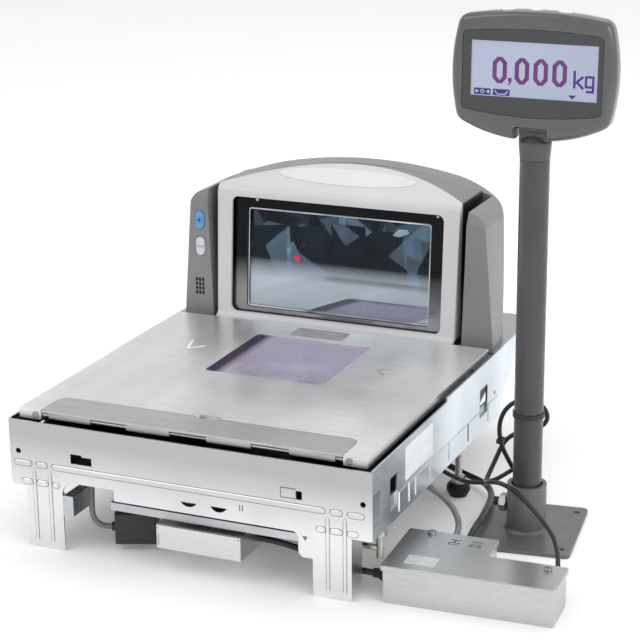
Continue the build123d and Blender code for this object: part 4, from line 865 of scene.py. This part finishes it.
def stroke(points, width, closed=False):
    """Outlines of a line of that width through the points."""
    sides = ([], [])
    count = len(points)
    for index, point in enumerate(points):
        here = Vector(point)
        before = Vector(points[index - 1]) if index or closed else None
        after = Vector(points[(index + 1) % count]) if index < count - 1 or closed else None
        ways = []
        if before is not None:
            ways.append((here - before).normalized())
        if after is not None:
            ways.append((after - here).normalized())
        normals = [Vector((-way.y, way.x)) for way in ways]
        middle = sum(normals, Vector((0, 0))).normalized()
        reach = width / 2 / max(0.4, middle.dot(normals[0]))
        sides[0].append(tuple(here + middle * reach))
        sides[1].append(tuple(here - middle * reach))
    if closed:
        return [sides[0], sides[1]]
    return [sides[0] + sides[1][::-1]]


def ring(radius, z, steps=36):
    """Circle round the local Z axis."""
    angles = [math.tau * i / steps for i in range(steps)]
    return [(radius * math.cos(angle), radius * math.sin(angle), z) for angle in angles]


def turned(profile, steps=36):
    """Rings of a turned solid, from its radii and heights."""
    return [ring(radius, z, steps) for radius, z in profile]


def nut_rings(flats, low, high, steps=72):
    """Rings of a hexagon with the cone-turned corners of a real nut."""
    inner = flats / 2
    face = 0.95 * inner
    wide_low, wide_high = [], []
    for i in range(steps):
        angle = math.tau * i / steps
        across = (angle + math.pi / 6) % (math.pi / 3) - math.pi / 6
        radius = inner / math.cos(across)
        drop = (radius - face) * math.tan(math.radians(30))
        point = (radius * math.cos(angle), radius * math.sin(angle))
        wide_low.append((*point, low + drop))
        wide_high.append((*point, high - drop))
    return [ring(face, low, steps), wide_low, wide_high, ring(face, high, steps)]


def thread_rings(radius, pitch, low, high, steps=28):
    """Rings of a screw thread, with its start chamfered."""
    depth = 0.55 * pitch
    rows = max(2, round((high - low) / pitch * 6))
    rings = []
    for row in range(rows + 1):
        z = low + (high - low) * row / rows
        lead = max(0.0, radius * 0.25 - (high - z))
        points = []
        for i in range(steps):
            turn = i / steps
            phase = (z / pitch - turn) % 1.0
            groove = depth * abs(2 * phase - 1)
            r = min(radius - groove, radius - lead)
            points.append((r * math.cos(math.tau * turn), r * math.sin(math.tau * turn), z))
        rings.append(points)
    return rings


def skinned_piece(name, parts, body, slot, *materials):
    """One piece from several ring solids, each with its place and the number of its finish."""
    points, faces, finishes = [], [], []
    for rings, where, finish in parts:
        start, steps = len(points), len(rings[0])
        for loop in rings:
            points += [where @ Vector(point) for point in loop]
        for level in range(len(rings) - 1):
            for i in range(steps):
                low, nxt = start + level * steps + i, start + level * steps + (i + 1) % steps
                faces.append((low, nxt, nxt + steps, low + steps))
        faces.append(tuple(range(start, start + steps))[::-1])
        last = start + (len(rings) - 1) * steps
        faces.append(tuple(range(last, last + steps)))
        finishes += [finish] * (len(faces) - len(finishes))
    mesh = bpy.data.meshes.new(name)
    mesh.from_pydata(points, [], faces)
    for material in materials:
        mesh.materials.append(material)
    mesh.polygons.foreach_set("material_index", finishes)
    mesh.shade_smooth()
    mesh.set_sharp_from_angle(angle=math.radians(35))
    return add_piece(name, mesh, body, slot, *materials)


# Levelling feet and screws


def foot_set(side, x):
    """Levelling stud with a real thread, its spanner hexagon and washer."""
    base = place(x, STUD[1], 0)
    washer = turned([(5.9, 11.0), (6.2, 11.2), (6.2, 12.0), (5.9, 12.2)])
    parts = [
        (washer, base, 0),
        (nut_rings(10.0, 12.2, 18.0), base, 0),
        (thread_rings(3.0, 1.0, 17.9, 62.9), base, 0),
    ]
    piece = skinned_piece("levelling_stud_" + side, parts, "foot_" + side, "zinc_fastener", FASTENER)
    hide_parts("foot_stud_" + side)


def jack_set():
    """Front hanging studs: thread, dome nut and cross rod, both sides."""
    dome_angles = [math.radians(angle) for angle in range(0, 86, 10)]
    dome = turned([(4.6 * math.cos(angle), 46.0 + 4.6 * math.sin(angle)) for angle in dome_angles])
    parts = []
    for side in (-1, 1):
        base = place(side * JACK[0], JACK[1], 0)
        way = Matrix.Rotation(math.radians(90), 4, "Y")
        rod = place(min(side * 128.0, side * JACK[0]), JACK[1], 31.0, way)
        parts += [
            (thread_rings(3.0, 1.0, 23.0, 41.5), base, 0),
            (nut_rings(10.0, 41.0, 46.0), base, 0),
            (dome, base, 0),
            (turned([(2.9, 50.0), (2.9, 51.9)]), base, 0),
            (turned([(2.0, 0.0), (2.2, 0.3), (2.2, 17.2), (2.0, 17.5)]), rod, 0),
        ]
    piece = skinned_piece("front_jack_set", parts, "base", "zinc_fastener", FASTENER)
    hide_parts("jack_screws")


def window_bolts():
    """Bolts that stand on the ledges, seen through the side windows."""
    parts = []
    for side in (-1, 1):
        for y, high in ((36.0, 79.0), (244.0, 74.0)):
            base = place(side * 144.0, y, 0)
            parts += [
                (nut_rings(9.5, LEDGE_Z, LEDGE_Z + 4.6), base, 0),
                (thread_rings(2.9, 1.0, LEDGE_Z + 4.5, high), base, 0),
                (nut_rings(9.5, high - 7.0, high - 2.4), base, 0),
            ]
    skinned_piece("ledge_bolts", parts, "base", "zinc_fastener", FASTENER)


def clamp_set():
    """Dark threaded stud with the bright lock nut that grips the pole."""
    way = Matrix.Rotation(math.radians(90), 4, "Y")
    base = place(*CLAMP, way)
    parts = [
        (thread_rings(3.9, 1.25, 0.0, 15.4), base, 1),
        (nut_rings(13.0, 5.05, 11.05), base, 0),
    ]
    piece = skinned_piece("pole_clamp_set", parts, "base", "zinc_fastener", FASTENER, DARK_STEEL)
    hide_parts("clamp_screw")


for stud_side, stud_x in (("right", STUD[0]), ("left", -STUD[0])):
    foot_set(stud_side, stud_x)
jack_set()
window_bolts()
clamp_set()

# Display face


def zero(x, z):
    """Tall eight-sided nought with a pointed hole, centred at x, z."""
    half, rise, cut = 5.6, 9.9, 4.0
    outer = [
        (half, rise - cut), (cut / 2.2, rise), (-cut / 2.2, rise), (-half, rise - cut),
        (-half, cut - rise), (-cut / 2.2, -rise), (cut / 2.2, -rise), (half, cut - rise),
    ]
    hole_w, hole_h, point = 2.3, 4.6, 7.4
    hole = [
        (hole_w, hole_h), (0, point), (-hole_w, hole_h),
        (-hole_w, -hole_h), (0, -point), (hole_w, -hole_h),
    ]
    return [[(x + a, z + b) for a, b in loop] for loop in (outer, hole)]


def letter_k(x, z, size, width):
    """Small k from its foot at x, z."""
    stem = stroke([(x, z), (x, z + size)], width)
    arm = stroke([(x + 0.50 * size, z + 0.68 * size), (x + 0.04 * size, z + 0.28 * size)], width)
    leg = stroke([(x + 0.14 * size, z + 0.36 * size), (x + 0.52 * size, z)], width)
    return [stem, arm, leg]


def letter_g(x, z, size, width):
    """Small g: a square bowl, its stem and hook."""
    right, top, tail = x + 0.46 * size, z + 0.62 * size, z - 0.3 * size
    bowl = [(x, z), (right, z), (right, top), (x, top)]
    hook = [(right, z + 0.1 * size), (right, tail), (x + 0.02 * size, tail)]
    return [stroke(bowl, width, closed=True), stroke(hook, width)]


def screen_mark(name, loops, ink, lift=0.0):
    """Part of what the screen shows, that much thicker where it lies over another."""
    where = on_head(SCREEN_DEPTH)
    relief_piece(name, loops, MARK_THICK + lift, where, "display", "display_screen", ink)


def display_marks():
    digits = []
    for x in (-25.4, -8.1, 6.4, 20.9):
        digits += zero(x, -1.0)
    comma = [(-18.8, -6.4), (-15.8, -6.4), (-15.8, -9.2), (-17.8, -12.2), (-18.6, -11.6)]
    comma += [(-17.4, -9.2), (-18.8, -9.2)]
    screen_mark("screen_digits", digits + [comma], DIGIT_INK)
    unit_parts = letter_k(32.4, -11.2, 13.1, 1.9) + letter_g(41.2, -9.6, 11.8, 1.8)
    for index, loops in enumerate(unit_parts):
        screen_mark("screen_unit_" + str(index + 1), loops, UNIT_INK, 0.01 * index)
    boxes = [rounded(13.2, 4.8, 0.5, x, -17.6) for x in (-38.6, -23.7)]
    arrows = []
    for x, way in ((-42.6, 1), (-34.6, -1)):
        arrows.append([(x - 1.4 * way, -16.2), (x + 1.4 * way, -17.6), (x - 1.4 * way, -19.0)])
    arrows += stroke([(-29.0, -16.4), (-26.6, -19.0), (-20.8, -19.0), (-18.4, -16.4)], 0.8)
    screen_mark("screen_flags", boxes, ICON_INK)
    screen_mark("screen_flag_signs", arrows, PALE_INK, 0.06)
    nought = stroke(arc(-38.6, -17.6, 1.3, 0, 330, 11), 0.6, closed=True)
    screen_mark("screen_flag_nought", nought, PALE_INK, 0.06)
    pointer = [[(28.0, -16.4), (34.2, -16.4), (31.1, -19.4)]]
    screen_mark("screen_pointer", pointer, ICON_INK)


display_marks()

# Tower details


def button_marks():
    blue = on_front(*BLUE_KEY)
    horn = [[(-2.2, -1.0), (-1.0, -1.0), (0.8, -2.6), (0.8, 2.6), (-1.0, 1.0), (-2.2, 1.0)]]
    relief_piece("volume_sign_horn", horn, 0.12, blue, "blue_button", "blue_key", BLUE_INK)
    wave = stroke(arc(0.2, 0.0, 2.2, -42, 42, 6), 0.55)
    relief_piece("volume_sign_wave", wave, 0.12, blue, "blue_button", "blue_key", BLUE_INK)
    white = on_front(*WHITE_KEY)
    nought = stroke(arc(0.0, 0.0, 1.1, 0, 330, 11), 0.45, closed=True)
    relief_piece("zero_sign_nought", nought, 0.1, white, "white_button", "white_key", GREY_INK)
    heads = [[(way * 3.3, 1.1), (way * 1.9, 0.0), (way * 3.3, -1.1)] for way in (-1, 1)]
    relief_piece("zero_sign_arrows", heads, 0.1, white, "white_button", "white_key", GREY_INK)


def speaker_slots():
    """Black cloth behind the speaker's slots."""
    slots = [rounded(2.3, 3.3, 0.9, x, z) for x in (-3.2, 0.0, 3.2) for z in (-6.0, -2.0, 2.0, 6.0)]
    relief_piece("speaker_cloth", slots, 0.08, on_front(*SPEAKER), "base", "shell_plastic", HOLE_INK)


def frame_screws():
    """Small screws in the black frame's top corners."""
    parts = []
    y = FACE_Y + FRAME_PROUD + LEAN * (FRAME_SCREW_Z - DECK_Z)
    for x in FRAME_SCREW_X:
        head = turned([(1.5, -0.6), (1.5, 0.2), (1.1, 0.6), (0.5, 0.6), (0.4, 0.3)], 24)
        parts.append((head, on_front(x, y, FRAME_SCREW_Z), 0))
    skinned_piece("frame_screws", parts, "base", "zinc_fastener", FASTENER)


def scan_optics():
    """Collector lens with a painted red glow, and an oblique facet among the pattern mirrors with a
    painted highlight.
    """
    lens = turned([(2.6, -0.6), (2.6, 0.2), (2.0, 0.9), (1.0, 1.3), (0.3, 1.4)], 24)
    skinned_piece("collector_lens", [(lens, on_front(*COLLECTOR), 0)], "base", "scan_glass", LENS_PAINTED_GLOW)
    outline = [(-7.5, -2.6), (-1.0, -3.6), (8.0, 0.6), (6.5, 3.6), (-2.0, 3.2)]
    relief_piece("facet_with_painted_highlight", [outline], 0.4, on_front(*FACET), "base", "mirror", FACET_PAINTED_HIGHLIGHT)


button_marks()
speaker_slots()
frame_screws()
scan_optics()

# Platter marks, labels and pressings


def platter_marks():
    deck = place(0, 0, DECK_Z)
    left = stroke([(-98.0, 203.0), (-92.0, 181.0), (-80.5, 192.0)], 2.2)
    right = stroke([(90.0, 176.5), (80.5, 186.0), (88.5, 194.0)], 1.2)
    relief_piece("item_arrow_left", left, 0.16, deck, "platter", "platter_steel", PAPER)
    relief_piece("item_arrow_right", right, 0.12, deck, "platter", "platter_steel", RAIL_STEEL)
    plate = [rounded(49.0, 22.0, 2.0, -2.0, 258.0)]
    relief_piece("bare_name_plate", plate, 0.3, deck, "platter", "platter_steel", PLATE)


def labels():
    side = [rounded(60.0, 27.0, 1.5, 90.0, 87.5)]
    relief_piece("bare_side_label", side, 0.15, on_right(SIDE_X, 0, 0), "base", "frame_sheet", PAPER)
    lid = [rounded(24.0, 16.0, 1.5)]
    relief_piece("bare_lid_label", lid, 0.12, on_lid(27.0, 18.0), "base", "junction_steel", FOIL)


def lid_signs():
    """Plain outlines that mark the two rear ports."""
    for index, x in enumerate((40.5, 57.0)):
        socket = stroke([(-3.6, -3.4), (3.6, -3.4), (3.6, 0.2), (-3.6, 0.2)], 0.8, closed=True)
        bar = stroke([(-4.0, 5.2), (4.0, 5.2)], 1.1)
        name = "port_sign_" + str(index + 1)
        where = on_lid(x, 57.0 + 1.0 * index)
        relief_piece(name, socket, 0.06, where, "base", "junction_steel", INK)
        relief_piece(name + "_bar", bar, 0.06, where, "base", "junction_steel", INK)
    stem = stroke([(0.0, 0.6), (0.0, 5.2)], 0.9)
    relief_piece("port_sign_stem", stem, 0.07, on_lid(40.5, 57.0), "base", "junction_steel", INK)


def on_panel(name, loops, thick, material):
    """Piece on the front panel, with its outlines given from the panel's middle at the floor."""
    relief_piece(name, loops, thick, on_front(0, FRONT_Y, 0), "base", "frame_sheet", material)


def front_marks():
    """Folded tongue beside the right slot, and the small stamped mark further in."""
    on_panel("front_tongue", [rounded(11.6, 7.0, 0.6, 86.4, 79.4)], 0.45, FRONT_ZINC)
    edge = stroke([(92.4, 83.4), (80.1, 83.4), (80.1, 75.5), (92.4, 75.5)], 0.45)
    on_panel("front_tongue_gap", edge, 0.08, INK)
    mark = stroke([(46.2, 58.6), (46.2, 63.4)], 0.7) + stroke([(48.6, 58.6), (48.6, 63.4)], 0.7)
    on_panel("front_stamp", mark, 0.08, INK)


def bead_shades():
    """Darkened outlines where the front panel's beads and its legs' ribs are pressed out."""
    upper = [(-150.3, -134.2), (-130.7, -120.2), (-116.6, 116.1), (119.8, 129.7), (133.6, 147.0)]
    lower = [
        (-144.0, -134.2), (-130.7, -120.2), (-116.6, -110.3),
        (108.8, 116.1), (119.8, 129.6), (133.6, 142.3),
    ]
    loops = []
    for height, row in ((69.5, upper), (54.5, lower)):
        for low, high in row:
            outline = rounded(high - low + 0.3, 4.9, 2.4, (low + high) / 2, height)
            loops += stroke(outline, 0.55, closed=True)
    on_panel("front_bead_shades", loops, 0.06, SHADE_INK)
    legs = []
    for x in (-132.4, -118.4, 117.9, 131.6):
        for edge in (x - 1.5, x + 1.5):
            legs += stroke([(edge, 6.5), (edge, 64.0)], 0.4)
    on_panel("front_leg_shades", legs, 0.05, SHADE_INK)


def side_shades():
    """Darkened outlines round the right side sheet's windows."""
    right = on_right(SIDE_X, 0, 0)
    loops = []
    for low, high, foot, top in SIDE_WINDOWS:
        middle, rise = (low + high) / 2, (foot + top) / 2
        outline = rounded(high - low + 1.0, top - foot + 1.0, 0.8, middle, rise)
        loops += stroke(outline, 0.7, closed=True)
    relief_piece("side_window_shades", loops, 0.06, right, "base", "frame_sheet", SHADE_INK)


platter_marks()
bead_shades()
side_shades()
labels()
lid_signs()
front_marks()

# Studio


def glow(name, size, spot, target, power):
    data = bpy.data.lights.new(name, "AREA")
    data.shape = "RECTANGLE"
    data.size, data.size_y = size
    data.energy = power
    light = bpy.data.objects.new(name, data)
    light.location = spot
    light.rotation_mode = "QUATERNION"
    light.rotation_quaternion = (Vector(target) - Vector(spot)).to_track_quat("-Z", "Y")
    bpy.context.scene.collection.objects.link(light)


def pale_floor():
    mesh = bpy.data.meshes.new("floor")
    half = 9.0
    corners = [(-half, -half, 0), (half, -half, 0), (half, half, 0), (-half, half, 0)]
    mesh.from_pydata(corners, [], [(0, 1, 2, 3)])
    floor = bpy.data.objects.new("floor", mesh)
    floor.location.z = -0.0002
    bpy.context.scene.collection.objects.link(floor)
    finish = Finish("pale_floor", (249, 249, 249), 0.75)
    finish.paint(finish.noise(3), (248, 248, 248), (250, 250, 250))
    finish.shine((1, 1, 1, 1), 0.12)
    floor.data.materials.append(finish.material)


def sky():
    """Even white surround, brightest near the floor's far edge so that the two run together."""
    world = bpy.data.worlds.new("studio")
    world.use_nodes = True
    tree = world.node_tree
    background = tree.nodes["Background"]
    background.inputs["Color"].default_value = (0.97, 0.985, 1.0, 1)
    way = tree.nodes.new("ShaderNodeTexCoord").outputs["Generated"]
    split = tree.nodes.new("ShaderNodeSeparateXYZ")
    tree.links.new(way, split.inputs[0])
    rise = tree.nodes.new("ShaderNodeMapRange")
    rise.inputs["From Min"].default_value = 0.0
    rise.inputs["From Max"].default_value = 0.6
    rise.inputs["To Min"].default_value = 0.86
    rise.inputs["To Max"].default_value = 0.78
    tree.links.new(split.outputs["Z"], rise.inputs["Value"])
    tree.links.new(rise.outputs["Result"], background.inputs["Strength"])
    bpy.context.scene.world = world


pale_floor()
sky()
glow("key", (1.6, 1.2), (-1.3, -1.2, 2.1), (0, 0, 0.1), 9)
glow("fill", (1.4, 1.4), (2.2, -0.8, 1.4), (0, 0, 0.15), 15)
glow("top", (1.8, 1.4), (0.1, 0.9, 2.3), (0, 0, 0.1), 12)
bpy.context.scene.view_settings.view_transform = "Standard"
